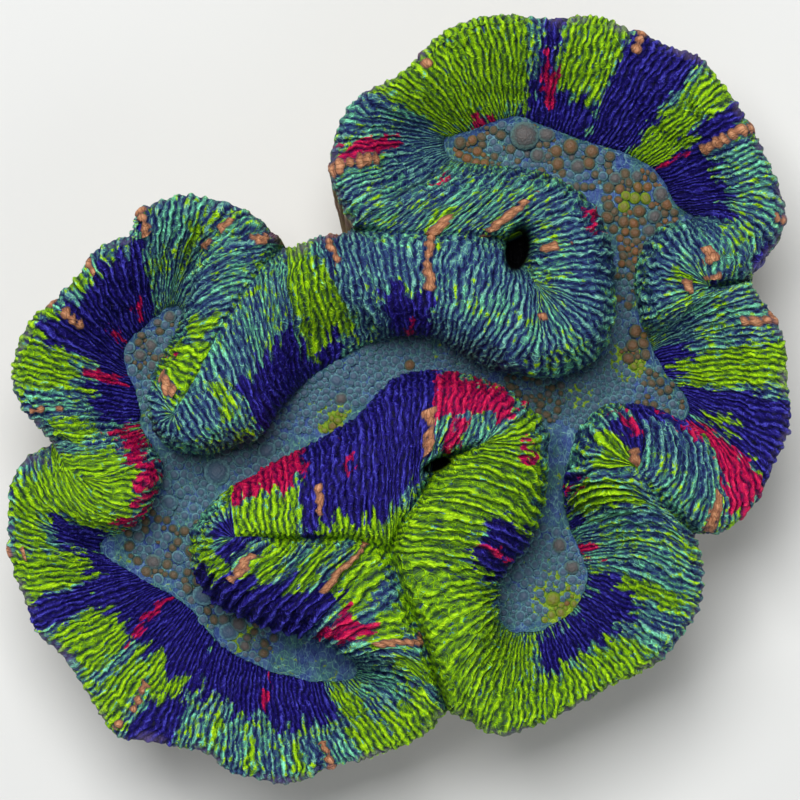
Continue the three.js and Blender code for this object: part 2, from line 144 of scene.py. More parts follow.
WALL = [
    lobe("north_lobe", 41, [(10, 44.5, -9, 31, 0), (9, 45.5, -11, 35.5, 0), (8.5, 46.5, -12.5, 40, 0),
        (8.5, 47.5, -12.5, 44.5, 0), (9, 48, -11, 49.5, 0), (10, 48, -7.5, 54.5, 0),
        (11.5, 48.5, -2.5, 58, 0), (13.5, 49, 2.5, 61, 0), (16, 50, 6.5, 66, 0), (19, 51, 13, 69, 0),
        (21.5, 51.5, 20.5, 69.5, 0), (25.5, 50, 27.5, 68.5, 0), (29.5, 48.5, 35, 69.5, 0),
        (33.5, 47, 41.5, 67, 0), (37, 46, 48, 64.5, 0), (40.5, 45, 54, 62.5, 0),
        (43.5, 43.5, 58, 57, 0), (46, 42, 62, 51, 0), (48, 39.5, 65.5, 45.5, 0),
        (49, 37.5, 68, 39.5, 0), (50, 35.5, 69.5, 33.5, -1), (51.5, 34.5, 68, 27.5, -2.5),
        (53, 33.5, 64, 22, -4)]),
    going_in("knob_in", "knob", 42, [(53, 33.5, -4), (53, 33, -3), (52.5, 32.5, -2), (51, 32, -0.5)]),
    fold_tip("knob_tip", "knob", 43, [(51, 32, -0.5), (48.5, 31.5, 0), (46, 30, 0), (44, 27.5, 0),
        (43, 25, 0), (42.5, 21.5, 0), (43, 18, 0.5), (43.5, 15, 0.5)]),
    coming_out("knob_out", "knob", 42, [(43.5, 15, 0.5), (44, 13, 0), (44.5, 12, -0.5),
        (45, 10.5, -1)]),
    lobe("east_lobe", 40, [(45, 10.5, 64, 22, -1), (45.5, 9.5, 66, 17.5, -1.5),
        (46, 8.5, 68.5, 13, -1.5), (47, 7, 70, 8.5, -1), (48, 5, 70, 4, -0.5), (49.5, 3, 70.5, -1, 0),
        (51, 1.5, 70, -6, 0), (52, 0, 68, -11, 0), (52.5, -1.5, 66, -16, -1.5),
        (52, -2.5, 62.5, -21, -2.5), (51, -3, 58, -24, -3.5), (49.5, -2.5, 53.5, -24.5, -4.5)]),
    going_in("east_in", "east", 43, [(49.5, -2.5, -4.5), (47.5, -1.5, -4.5), (45.5, -1, -4.5),
        (43, -0.5, -4), (41, -0.5, -2.5)]),
    fold_tip("east_tip", "east", 44, [(41, -0.5, -2.5), (38, -0.5, -1), (35.5, -2, 0), (33.5, -4, 0),
        (32, -6.5, 0), (31, -9.5, 0), (30, -13, 0)]),
    coming_out("east_out", "east", 43, [(30, -13, 0), (29.5, -16, -1.5), (29.5, -19, -3),
        (30, -22, -4.5), (30.5, -24.5, -4.5)]),
    lobe("south_lobe", 41, [(30.5, -24.5, 53.5, -24.5, -4.5), (32, -27, 54.5, -29, -3),
        (33, -29.5, 54.5, -34, -1.5), (34, -31.5, 53.5, -38, -0.5), (33.5, -34, 51, -42.5, 0),
        (32.5, -36.5, 47.5, -47, 0), (31, -38.5, 42.5, -49.5, 0), (29, -40, 37.5, -52.5, 0),
        (27, -41, 32, -55.5, 0), (25, -42, 26.5, -58, 0), (22.5, -42, 21, -60, 0),
        (21, -42, 16, -60, 0), (19.5, -41, 12, -58, 0), (18.5, -39.5, 8.5, -56.5, 0)]),
    going_in("green_trunk", "south", 46, [(18.5, -39.5, 0), (18, -38, 0), (18, -36.5, 0),
        (18, -34.5, 1.5), (18, -33, 1.5), (19, -31.5, 1)]),
    going_in("green_in", "green", 47, [(19, -31.5, 1), (21, -29, 1.5), (23.5, -26, 2),
        (25, -22.5, 2.5), (26.5, -18.5, 2.5), (27, -14, 1.5), (27, -10, 0.5)]),
    fold_tip("green_tip", "green", 47, [(27, -10, 0.5), (26.5, -6.5, 0), (25, -4, 0), (23.5, -1.5, 0),
        (21, 1, 0), (19, 2.5, 0)]),
    coming_out("middle_shoulder", "green", 46, [(19, 2.5, 0), (15, 4, 0), (11, 5, 0), (6.5, 5.5, 0),
        (2.5, 5, 0), (-1, 4, 0), (-4, 1.5, 0)]),
    going_in("middle_in", "middle", 45, [(-4, 1.5, 0), (-8, -3, 0), (-12.5, -6, 0), (-17.5, -8.5, 0),
        (-22, -11, 0), (-26.5, -13.5, 0), (-30.5, -15.5, 0)]),
    fold_tip("middle_tip", "middle", 45, [(-30.5, -15.5, 0), (-33, -17.5, 0), (-35, -19.5, 0),
        (-36.5, -21.5, 0), (-38, -24.5, 0), (-38, -27.5, 0), (-38, -30.5, 0)]),
    coming_out("middle_out", "middle", 45, [(-38, -30.5, 0), (-36.5, -33.5, 0), (-34, -36.5, 0),
        (-30, -39, 0), (-25.5, -41, 0), (-21.5, -42, 0), (-17.5, -43, 0)]),
    coming_out("middle_trunk", "south", 44, [(-17.5, -43, 0), (-14.5, -44, 0), (-12, -45.5, -1),
        (-10, -47, -2), (-9, -48, -2.5), (-8.5, -49.5, -2)]),
    lobe("south_west_lobe", 39, [(-8.5, -49.5, 8.5, -56.5, -2), (-9, -50.5, 4.5, -60.5, -1.5),
        (-11, -51, -0.5, -63, -0.5), (-14, -51, -6, -64.5, 0), (-16.5, -51, -11.5, -66, 0),
        (-20, -50, -16, -68.5, 0), (-23, -49.5, -21, -69.5, 0), (-26, -48, -26.5, -68.5, 0),
        (-28.5, -47, -31.5, -67, 0), (-31, -45.5, -35.5, -63.5, 0), (-33.5, -43.5, -40, -63, 0),
        (-35.5, -41, -45.5, -61.5, 0), (-37, -39, -51, -60.5, 0), (-38.5, -37.5, -54.5, -56, 0),
        (-40.5, -36, -57.5, -51, 0), (-43, -34.5, -61, -46, 0), (-45, -33.5, -65.5, -42, 0),
        (-47.5, -32, -68, -36, 0), (-50, -30.5, -70, -31, 0), (-52.5, -29, -71, -26, 0),
        (-54.5, -27, -71, -21.5, -0.5), (-53.5, -25.5, -70.5, -16.5, -2),
        (-51.5, -25, -69.5, -13, -3.5), (-49.5, -24, -67, -10, -4.5), (-47.5, -23, -63, -8, -5.5)]),
    going_in("west_knob_in", "west_knob", 42, [(-47.5, -23, -5.5), (-46, -21.5, -5), (-45, -19.5, -4),
        (-44.5, -17.5, -2)]),
    fold_tip("west_knob_tip", "west_knob", 43, [(-44.5, -17.5, -2), (-43.5, -15.5, -0.5),
        (-43, -13, 0), (-43.5, -10.5, 0)]),
    coming_out("west_knob_out", "west_knob", 42, [(-43.5, -10.5, 0), (-44.5, -9, 0), (-45.5, -7, 0),
        (-46.5, -5.5, 0)]),
    lobe("north_west_lobe", 40, [(-46.5, -5.5, -63, -8, 0), (-47, -4, -66, -4.5, 0),
        (-47, -2, -68.5, -1, 0), (-47.5, 0, -70, 3, 0), (-48, 2, -70, 7, 0), (-49, 4, -68.5, 11.5, 0),
        (-49.5, 5.5, -66, 15.5, 0), (-50, 7, -62.5, 17.5, 0), (-50, 9, -60, 20.5, 0),
        (-49.5, 10, -57, 23.5, 0), (-48.5, 11.5, -55.5, 26.5, 0), (-47, 12.5, -52, 29, 0),
        (-46, 13.5, -49, 30, 0), (-45, 14.5, -47.5, 33.5, 0), (-43.5, 15.5, -43.5, 36, 0),
        (-42.5, 16.5, -38, 37, 0), (-42, 16.5, -32.5, 36, -1), (-41, 16.5, -27.5, 34.5, -2),
        (-40.5, 16, -24, 32, -3.5), (-40, 15.5, -21, 28, -4.5)]),
    going_in("west_in", "west", 45, [(-40, 15.5, -4.5), (-40.5, 14, -2.5), (-41, 12, -1),
        (-42, 10.5, 0), (-43, 8, 0), (-44.5, 6, 0), (-45, 3, 0)]),
    fold_tip("west_tip", "west", 44, [(-45, 3, 0), (-45.5, 0.5, 0), (-45.5, -2.5, 0), (-45, -5, 0),
        (-43.5, -7.5, 0), (-41.5, -9, 0), (-38.5, -9.5, 0), (-35.5, -10, 0)]),
    coming_out("west_out", "west", 45, [(-35.5, -10, 0), (-31.5, -9, 0), (-28.5, -7.5, 0),
        (-25, -6, 0), (-22.5, -3, 0), (-19.5, 0, 0), (-17, 2.5, 0)]),
    lobe("arch_edge", 42, [(-17, 2.5, -21, 28, 0), (-14, 5, -18, 28.5, 0), (-10.5, 7, -15, 29.5, 0),
        (-7, 9, -11.5, 30, 0), (-3, 10.5, -9, 31, 0)]),
    going_in("arch_in", "arch", 46, [(-3, 10.5, 0), (1, 11.5, 0), (5.5, 11.5, 0), (9, 9.5, 0.5),
        (12.5, 7.5, 2), (16.5, 5.5, 3), (21, 4.5, 1.5)]),
    fold_tip("arch_tip", "arch", 47, [(21, 4.5, 1.5), (26.5, 4, 0), (31.5, 5, 0), (35.5, 7, 0),
        (38, 11, 0), (39, 16, 0), (39, 21, 0)]),
    coming_out("arch_out", "arch", 46, [(39, 21, 0), (38.5, 27.5, 0), (35, 35.5, 0), (27.5, 41, 0),
        (20, 42.5, 0), (14, 43.5, 0), (10, 44.5, 0)]),
]

# The colony in parts of the loop, each from its first stretch to its last.
MANTLES = {
    "mantle_north": ("north_lobe", "knob_out"),
    "mantle_east": ("east_lobe", "east_out"),
    "mantle_south": ("south_lobe", "middle_trunk"),
    "mantle_south_west": ("south_west_lobe", "west_knob_out"),
    "mantle_north_west": ("north_west_lobe", "west_out"),
    "mantle_arch": ("arch_edge", "arch_out"),
}

# ---- Markings ----
# Each stretch has its marks as (from station, to station, from share, to share, lean): how far along the
# stretch a mark runs, how far across the wall from foot to rim, and how many stations its top is ahead of
# its bottom, if it leans.
MARKS = {
    "slate": {
        "north_lobe": [(0, 5, 0, 0.5)], "knob_in": [(0, 3, 0, 0.3)], "knob_tip": [(0, 7, 0.1, 0.45)],
        "east_in": [(0, 4, 0.1, 0.6)], "east_lobe": [(0, 2.5, 0.1, 0.4)],
        "arch_in": [(0, 6, 0.55, 0.95), (0, 6, 0, 0.3)], "arch_edge": [(2, 4, 0.2, 1)],
        "west_tip": [(0, 7, 0.1, 0.7)], "west_out": [(0, 4, 0.4, 0.8)],
        "north_west_lobe": [(17.6, 19, 0.1, 0.36)], "west_in": [(0, 1.5, 0, 0.5)],
        "arch_out": [(0, 2, 0, 0.5)], "arch_tip": [(3, 6, 0.1, 0.7)], "middle_trunk": [(0, 5, 0, 0.2)],
    },
    "indigo": {
        "north_lobe": [(10, 13, 0, 0.32), (10.7, 11.3, 0.2, 1, 0.3), (13, 15.2, 0, 1), (15, 22, 0, 0.5),
            (16.4, 17.3, 0.4, 0.95), (21, 22, 0.9, 1)],
        "east_lobe": [(1.8, 4.6, 0, 0.27), (4.8, 8.3, 0, 1), (8, 11, 0, 0.12)], "east_in": [(0, 4, 0, 0.2)],
        "east_tip": [(0, 2.4, 0.2, 0.95, -1.5)], "east_out": [(0, 4, 0, 0.1)],
        "south_lobe": [(2.6, 9, 0.04, 0.5)], "green_trunk": [(4, 5, 0, 0.36)],
        "green_in": [(0, 2.6, 0, 0.38)], "middle_shoulder": [(2.6, 6, 0, 0.8)],
        "middle_in": [(0, 3.3, 0, 1)], "middle_tip": [(0, 4, 0.45, 1)],
        "middle_out": [(0, 6, 0, 0.55), (0, 1, 0.4, 1)],
        "south_west_lobe": [(3, 10.2, 0, 0.48), (10.2, 11.8, 0.3, 1), (10, 19.5, 0, 0.5),
            (16, 17.2, 0.4, 1), (19.5, 23, 0.04, 0.55)],
        "north_west_lobe": [(1, 13.3, 0, 0.36), (5, 13.2, 0.1, 0.85)], "west_out": [(3, 6, 0, 0.45)],
        "arch_edge": [(0, 2.2, 0, 0.25, 0.6)], "arch_in": [(0.4, 2, 0, 0.46)],
        "knob_in": [(2.3, 3, 0.85, 1)],
    },
    "green": {
        "north_lobe": [(5.3, 10.4, 0.02, 1), (4, 6, 0, 0.15), (11.3, 13, 0.34, 1), (15.3, 17, 0, 0.5),
            (15.4, 16.5, 0.3, 1, 0.2)], "knob_tip": [(3.5, 5, 0.4, 0.9)],
        "east_lobe": [(2.8, 4.7, 0.1, 1, -0.9), (6.4, 7.6, 0.25, 0.5, -1), (7.8, 8.3, 0.7, 0.95),
            (9, 9.5, 0.8, 1)], "east_tip": [(1.6, 6, 0.27, 1, -1)], "east_out": [(0.8, 3.6, 0.08, 0.66)],
        "south_lobe": [(5, 9.6, 0.5, 1), (9.3, 14, 0.04, 1), (2.6, 3.4, 0.3, 0.9)],
        "green_trunk": [(0, 5, 0.05, 1)], "green_in": [(0, 6, 0.36, 1), (2.2, 6, 0.05, 0.5)],
        "green_tip": [(0, 3, 0.05, 1)], "middle_shoulder": [(4.4, 6, 0.82, 1)],
        "middle_in": [(0, 2.6, 0.8, 1), (3.2, 6, 0.3, 1)],
        "middle_tip": [(4, 6, 0.05, 0.5), (0, 1, 0, 0.45)],
        "middle_out": [(1.7, 3, 0.4, 1, -0.8), (3.6, 4.5, 0.4, 1, -0.8), (5, 6, 0.45, 1, -0.8),
            (0, 1.5, 0.12, 0.45)],
        "middle_trunk": [(0, 0.7, 0.35, 1, -1), (1.3, 2.5, 0.35, 1, -1), (3.2, 4.3, 0.4, 1, -1)],
        "south_west_lobe": [(0, 3.2, 0.55, 1), (1.9, 2.9, 0.05, 0.6, 0.3), (5.1, 5.6, 0.6, 1),
            (6.9, 7.4, 0.62, 0.95), (8.5, 9, 0.55, 0.85), (10.6, 13.5, 0.42, 0.62), (12.2, 13.5, 0.5, 1),
            (13.9, 16, 0.45, 0.97, -0.5), (17.1, 19, 0.3, 1, -1), (19, 25, 0.55, 0.92),
            (23, 25, 0.15, 0.95)], "west_knob_in": [(0, 3, 0.2, 1)], "west_knob_tip": [(0, 3, 0.25, 1)],
        "west_knob_out": [(0, 1.9, 0.4, 1)],
        "north_west_lobe": [(15.5, 16.3, 0.42, 0.82), (0, 1.5, 0.48, 0.85), (3, 5.2, 0.42, 1),
            (5, 7, 0.84, 1), (8, 9, 0.8, 1)], "west_in": [(2, 3, 0.25, 0.8, 0.3), (3, 5.4, 0.04, 1)],
        "west_out": [(1.8, 2.6, 0.3, 0.7)], "arch_edge": [(0, 1.6, 0.5, 1), (0.2, 2.7, 0.15, 0.7, -1)],
        "arch_out": [(4, 4.5, 0.55, 0.8)],
    },
    "crimson": {
        "north_lobe": [(2.5, 3.5, 0.42, 0.97, -0.8), (10.9, 11.4, 0.25, 0.62), (7, 8.6, 0, 0.09),
            (17, 17.2, 0.05, 0.35)], "east_lobe": [(8.2, 10.2, 0.12, 0.97, -1)],
        "east_in": [(0, 1.6, 0.06, 0.2)], "east_tip": [(0.3, 1, 0.1, 0.5, -1)],
        "east_out": [(0.6, 1.8, 0.06, 0.16)], "south_lobe": [(1, 2, 0, 0.1)],
        "green_in": [(0.7, 1.1, 0.08, 0.36), (5, 6, 0.2, 0.36)],
        "green_tip": [(0, 0.8, 0.22, 0.4), (3.3, 5, 0.05, 0.55)],
        "middle_shoulder": [(0, 3, 0.03, 0.52), (1.1, 1.9, 0.5, 0.98)],
        "middle_in": [(3, 6, 0, 0.34), (1.3, 1.6, 0.22, 0.38)], "middle_trunk": [(0.4, 2, 0.1, 0.52)],
        "south_west_lobe": [(14, 14.4, 0.1, 0.5, -0.7), (6.4, 6.7, 0.12, 0.3), (23, 25, 0.06, 0.16)],
        "west_knob_in": [(0, 3, 0.04, 0.2)], "west_knob_tip": [(0, 3, 0.02, 0.26)],
        "west_knob_out": [(0, 3, 0.02, 0.26)],
        "north_west_lobe": [(0, 0.8, 0.04, 0.26), (3.9, 4.8, 0.08, 0.36, -0.5), (8, 9, 0.1, 0.22),
            (11, 12, 0.08, 0.24)], "west_in": [(3.4, 3.8, 0.08, 0.2)], "arch_in": [(1, 1.3, 0.04, 0.14)],
        "arch_out": [(1.4, 1.9, 0.02, 0.14), (5.3, 5.6, 0.18, 0.3)],
    },
}

# Ridges that are chains of brown beads, in each stretch: (station, from share, to share).
BEADED_RIDGES = {
    "north_lobe": [(2.3, 0.6, 1), (7.2, 0.85, 1), (13.3, 0.75, 1), (17.3, 0.48, 0.98), (20.2, 0.88, 1)],
    "knob_in": [(2.7, 0.45, 0.9)], "knob_tip": [(5.5, 0.55, 0.75)],
    "east_lobe": [(1.6, 0.75, 1), (10.6, 0.6, 0.95)], "east_tip": [(1.2, 0.75, 0.95)],
    "middle_shoulder": [(3.05, 0.3, 0.7)], "middle_in": [(2.6, 0.35, 0.75)],
    "middle_out": [(1.9, 0.35, 0.75), (5.3, 0.5, 1)], "middle_trunk": [(2.4, 0.35, 1)],
    "south_west_lobe": [(4.4, 0.7, 1), (12.1, 0.6, 0.95), (18.6, 0.85, 1)],
    "north_west_lobe": [(2.1, 0.65, 0.9), (7, 0.6, 1), (9.6, 0.85, 1), (13.5, 0.75, 1), (17.2, 0.55, 0.85),
        (18.6, 0.85, 1)], "west_in": [(5.2, 0.3, 0.75)], "arch_edge": [(2.9, 0.75, 1)],
    "arch_in": [(1.85, 0.45, 1)], "arch_tip": [(1.4, 0.6, 0.75)],
    "arch_out": [(1.2, 0.45, 0.8), (2.9, 0.3, 1), (4.2, 0.75, 1)],
}

# How strongly a stretch gathers its ridges into thick rounded pleats, and how strongly the others do.
PLAIN_PLEAT = 0.55
PLEATS = {"east_out": 1.45, "east_in": 1.5, "east_tip": 0.9, "green_in": 1.3, "green_trunk": 1.0,
    "middle_out": 1.35, "middle_trunk": 1.1, "south_lobe": 0.7, "arch_edge": 0.8, "west_in": 0.8,
    "arch_out": 0.8, "north_west_lobe": 0.7}

# Holes where folds stand apart: (x, y, reach along, reach across, turn in degrees, height of the bottom).
PITS = [
    (21.3, 27.2, 4.3, 2.4, 80, 26), (6.6, -11.7, 2.9, 1.1, 20, 34),
]

# How far each seam sinks between the two sides of its fold.
SEAM_DEPTHS = {"south": 6.0, "middle": 3.0, "green": 2.0, "arch": 1.5, "west": 1.5, "east": 2.5}

# ---- Valley floor ----
# Blister tints run from 0, slate, over brown and rust to 1, yellow-green.
SLATE, BROWN, RUST, YELLOW = 0.12, 0.38, 0.64, 0.95
# Large blisters: (x, y, radius, tint).
BIG_BLISTERS = [
    (22.8, 48.4, 2.9, BROWN), (21.6, 52.2, 1.7, BROWN), (26.8, 48.6, 1.5, BROWN), (25.2, 44.8, 1.5, BROWN),
    (31.2, 46.4, 1.5, RUST), (28.6, 45.6, 1.3, RUST), (28.9, 43.2, 1.3, RUST), (35.1, 45.5, 1.4, RUST),
    (32.6, 42.8, 1.6, BROWN), (34.6, 43.4, 1.2, RUST), (39.4, 40.6, 1.3, BROWN), (43.4, 41, 1.2, BROWN),
    (41.4, 37.4, 1.1, YELLOW), (43, 37, 1.2, YELLOW), (45, 36.9, 1.3, YELLOW), (47.8, 37.6, 1.6, BROWN),
    (41, 35.4, 1.2, YELLOW), (43.8, 34.6, 1.4, RUST), (46.6, 33.6, 1.5, BROWN), (41, 32.6, 1.2, RUST),
    (45.6, 31, 1.4, BROWN), (43, 30.6, 1.1, RUST), (43.2, 12.6, 1.4, RUST), (42.6, 10, 1.3, RUST),
    (41.8, 7.6, 1.3, RUST), (29.5, 2.6, 1.1, BROWN), (-11.6, 3.6, 1.4, SLATE), (-10.8, 0.2, 1.3, BROWN),
    (1.8, 6.4, 1.1, RUST), (-24.4, -9.2, 1.8, SLATE), (-33.5, -13.2, 2.6, SLATE), (-42.2, -18.8, 1.7, SLATE),
    (-45.2, -29.6, 1.5, BROWN), (-40.6, -28.8, 1.4, SLATE), (-36, -35.8, 2.2, SLATE),
    (-31.3, -42.4, 2, SLATE),
    (-29.5, -41, 1.5, BROWN), (29.2, -26.6, 1.5, BROWN), (31.5, -30.6, 1.4, BROWN), (21.6, -32.2, 1.3, SLATE),
    (22.6, -36, 1.4, SLATE), (28, -36.5, 1.6, YELLOW), (-47.6, 8.2, 1.4, BROWN), (-45.6, 10, 1.3, BROWN),
    (-42.2, 15.2, 1.3, BROWN), (-49, 5.4, 1.1, SLATE),
]
# Beds of small blisters: (x, y, reach, radius of a blister, share of the bed that they fill, tint).
BLISTER_BEDS = [
    (44, 35, 7, 1.05, 1, RUST), (33, 44.5, 6, 0.95, 0.9, BROWN), (22, 46, 6, 0.9, 0.6, BROWN),
    (14, 46.5, 4, 1, 0.7, RUST), (44, 27, 4, 0.95, 0.9, RUST), (39.3, 20, 4, 0.75, 0.7, BROWN),
    (39.3, 13, 4, 0.8, 0.8, SLATE), (43, 10, 3, 0.9, 0.8, RUST), (38, 3, 5, 0.75, 0.5, SLATE),
    (48, 1, 5, 0.8, 0.5, BROWN), (24, 0.5, 6, 0.75, 0.8, BROWN), (33, 0, 5, 0.7, 0.5, SLATE),
    (-2, 8.4, 8, 0.72, 1, SLATE), (-11, 4, 6, 0.8, 1, SLATE), (12, 7, 5, 0.65, 0.7, SLATE),
    (-18, -1, 5, 0.75, 0.8, SLATE), (-27, -9.5, 7, 0.9, 0.5, SLATE), (-40, -16, 6, 0.9, 0.5, SLATE),
    (-43, -26, 7, 1, 0.7, BROWN), (-36, -36, 6, 1, 0.8, BROWN), (-28, -43, 5, 0.9, 0.4, BROWN),
    (28, -30, 7, 0.85, 0.5, SLATE), (22, -35, 6, 0.85, 0.6, SLATE), (28, -37, 4, 0.8, 0.5, YELLOW),
    (42, 6, 3, 0.7, 0.6, YELLOW), (-13, -3, 3, 0.8, 0.6, YELLOW), (-47, 9, 5, 0.9, 1, BROWN),
    (-43, 14, 4, 0.85, 0.8, BROWN), (-45, 0, 4, 0.7, 0.4, SLATE),
]

# Yellow-green patches of the floor itself: (x, y, reach).
FLOOR_PATCHES = [(28.5, -36, 6), (41.5, 7, 4.5), (-13, -3, 4), (-29, -43.5, 3.5), (33, 1, 3)]


# ---- Curves and noise ----
def mix(a, b, share):
    return a + (b - a) * share


def smooth_step(low, high, value):
    share = np.clip((value - low) / (high - low), 0, 1)
    return share * share * (3 - 2 * share)


def spline(points, steps, closed=False):
    """A centripetal Catmull-Rom curve through points, in steps[i] equal steps from point i to the next."""
    points = np.asarray(points, float)
    spans = len(points) if closed else len(points) - 1
    pieces = []
    for span in range(spans):
        if closed:
            corners = [points[(span + k) % len(points)] for k in (-1, 0, 1, 2)]
        else:
            before = points[span - 1] if span else 2 * points[0] - points[1]
            after = points[span + 2] if span + 2 < len(points) else 2 * points[-1] - points[-2]
            corners = [before, points[span], points[span + 1], after]
        pieces.append(spline_span(corners, np.arange(steps[span]) / steps[span]))
    if not closed:
        pieces.append(points[-1:])
    return np.concatenate(pieces)


def spline_span(corners, share):
    gaps = [math.sqrt(np.linalg.norm(corners[k + 1] - corners[k])) for k in range(3)]
    middle = gaps[1] if gaps[1] > 1e-3 else 1.0
    first, last = [gap if gap > 1e-3 else middle for gap in (gaps[0], gaps[2])]
    a, b, c, d = corners
    leave = (b - a) / first - (c - a) / (first + middle) + (c - b) / middle
    arrive = (c - b) / middle - (d - b) / (middle + last) + (d - c) / last
    t = share[:, None]
    return (b * (2 * t**3 - 3 * t**2 + 1) + leave * middle * (t**3 - 2 * t**2 + t)
        + c * (3 * t**2 - 2 * t**3) + arrive * middle * (t**3 - t**2))


def ripple(points, size, seed, waves=7):
    """Soft random lumps of about that size, from -1 to 1, the same in every run."""
    random = np.random.default_rng(seed)
    total = np.zeros(points.shape[:-1])
    for _ in range(waves):
        direction = random.normal(size=points.shape[-1])
        direction /= np.linalg.norm(direction)
        rate = 2 * math.pi / (size * random.uniform(0.8, 1.9))
        total += np.sin(points @ direction * rate + random.uniform(0, 2 * math.pi))
    return total / math.sqrt(waves * 1.4)


def per_ridge(index, seed):
    """A random number from 0 to 1 for each ridge."""
    return np.mod(np.sin(index * 12.9898 + seed * 78.233) * 43758.5453, 1.0)


# ---- The wall as a grid of columns and rows ----
def interval_length(stretch, k):
    """The longest step that this interval makes, at the foot or at an open rim."""
    a, b = stretch["stations"][k], stretch["stations"][k + 1]
    foot = math.dist(a[:2], b[:2])
    return foot if stretch["seam"] else max(foot, math.dist(a[2:4], b[2:4]))


def count_steps():
    """Columns in each interval. Both sides of a seam get the same number."""
    seam_steps = {name: [2] * (len(points) - 1) for name, points in SEAMS.items()}
    for stretch in WALL:
        last = len(stretch["stations"]) - 1
        lengths = [interval_length(stretch, k) for k in range(last)]
        stretch["steps"] = [max(2, math.ceil(size / COLUMN_WIDTH)) for size in lengths]
        if stretch["way"] in ("in", "out"):
            shared = seam_steps[stretch["seam"]]
            for k, steps in enumerate(stretch["steps"]):
                place = k if stretch["way"] == "in" else last - 1 - k
                shared[place] = max(shared[place], steps)
    for stretch in WALL:
        if stretch["way"] in ("in", "out"):
            shared = seam_steps[stretch["seam"]]
            stretch["steps"] = list(shared) if stretch["way"] == "in" else shared[::-1]


def lobe_rim(stretch):
    last = len(stretch["stations"]) - 1
    rim = []
    for k, (_, _, x, y, _) in enumerate(stretch["stations"]):
        pull = math.exp(-((min(k, last - k) / NOTCH_REACH) ** 2))
        rim.append((x, y, mix(LOBE_RIM_Z, NOTCH_Z, pull)))
    return spline(rim, stretch["steps"])


def deepened_seam(name):
    """A seam's points, sunk between its ends where the folds press together."""
    points = np.array(SEAMS[name], float)
    share = np.linspace(0, 1, len(points))
    points[:, 2] -= SEAM_DEPTHS.get(name, 0.0) * np.sin(math.pi * share) ** 0.7
    return points


def stretch_rim(stretch):
    if stretch["way"] is None:
        return lobe_rim(stretch)
    seam = deepened_seam(stretch["seam"])
    if stretch["way"] == "tip":
        return np.tile(np.array(seam[-1], float), (sum(stretch["steps"]) + 1, 1))
    if stretch["way"] == "in":
        return spline(seam, stretch["steps"])
    return spline(seam, stretch["steps"][::-1])[::-1]


def smooth_round(values, reach):
    """A list that closes on itself, evened out over a few neighbours each way."""
    weights = {step: reach + 1 - abs(step) for step in range(-reach, reach + 1)}
    return sum(np.roll(values, -step) * weight for step, weight in weights.items()) / sum(weights.values())


def wall_columns():
    """One row of arrays, clockwise: each column's foot, rim, bow, crest height, puff, stretch and station."""
    count_steps()
    feet = [station[:2] for stretch in WALL for station in stretch["stations"][:-1]]
    steps = [count for stretch in WALL for count in stretch["steps"]]
    heights = [stretch["height"] for stretch in WALL for _ in stretch["steps"]]
    puffs = [stretch["puff"] for stretch in WALL for _ in stretch["steps"]]
    heights = smooth_round(np.array(heights, float), 2)
    puffs = smooth_round(np.array(puffs), 2)
    place = np.concatenate([k + np.arange(count) / count for k, count in enumerate(steps)])
    whole = np.arange(len(steps) + 1)

    station, bow, rim, number = [], [], [], []
    for index, stretch in enumerate(WALL):
        local = np.concatenate([k + np.arange(count) / count for k, count in enumerate(stretch["steps"])])
        bows = [values[-1] for values in stretch["stations"]]
        station.append(local)
        bow.append(np.interp(local, np.arange(len(bows)), bows))
        rim.append(stretch_rim(stretch)[:-1])
        number.append(np.full(len(local), index))
    return {
        "foot": spline(feet, steps, closed=True),
        "rim": np.concatenate(rim),
        "bow": np.concatenate(bow),
        "height": np.interp(place, whole, np.append(heights, heights[0])),
        "puff": np.interp(place, whole, np.append(puffs, puffs[0])),
        "station": np.concatenate(station),
        "stretch": np.concatenate(number),
    }


def swell(points):
    """Lifts and lowers the crests and rims in long waves, as the solid does."""
    share = np.maximum(0, (points[..., 2] - VALLEY_Z) / SWELL_FULL_RISE)
    wave = np.sin(points[..., 0] / SWELL_X + SWELL_SHIFT) * np.cos(points[..., 1] / SWELL_Y)
    points[..., 2] += SWELL_HEIGHT * wave * share
    return points


def plain_wall(columns):
    """The wall before its relief: points [column, row] and each point's share of the way across."""
    steps = [ROWS_PER_STEP] * (len(LOBE_SECTION) - 1)
    lobe_rows, fold_rows = spline(LOBE_SECTION, steps), spline(FOLD_SECTION, steps)
    puff = columns["puff"][:, None, None]
    section = lobe_rows * (1 - puff) + fold_rows * puff
    across, rise, fall = section[..., 0], section[..., 1], section[..., 2]

    foot, rim = columns["foot"][:, None, :], columns["rim"][:, None, :2]
    way = rim - foot
    span = np.maximum(np.linalg.norm(way, axis=2), 1e-6)
    arch = columns["bow"][:, None] * 4 * across * (1 - across) / span
    plan = foot + way * across[..., None] + np.stack([way[..., 1], -way[..., 0]], axis=2) * arch[..., None]
    height = columns["height"][:, None]
    drop = (height - columns["rim"][:, 2:3]) * fall
    points = np.concatenate([plan, (mix(VALLEY_Z, height, rise) - drop)[..., None]], axis=2)
    return swell(points), across


def length(vectors):
    return np.linalg.norm(vectors, axis=-1)


def along_step(points):
    """From the column before to the column after, halved, at every point."""
    return (np.roll(points, -1, axis=0) - np.roll(points, 1, axis=0)) / 2


def outward(points):
    """The wall's outward direction at every point of its grid."""
    along = along_step(points)
    up = np.gradient(points, axis=1)
    normal = np.cross(along, up)
    size = length(normal)[..., None]
    return np.where(size > 1e-7, normal / np.maximum(size, 1e-9), [0.0, 0.0, 1.0])


CREST_ROW = int(4.5 * ROWS_PER_STEP)


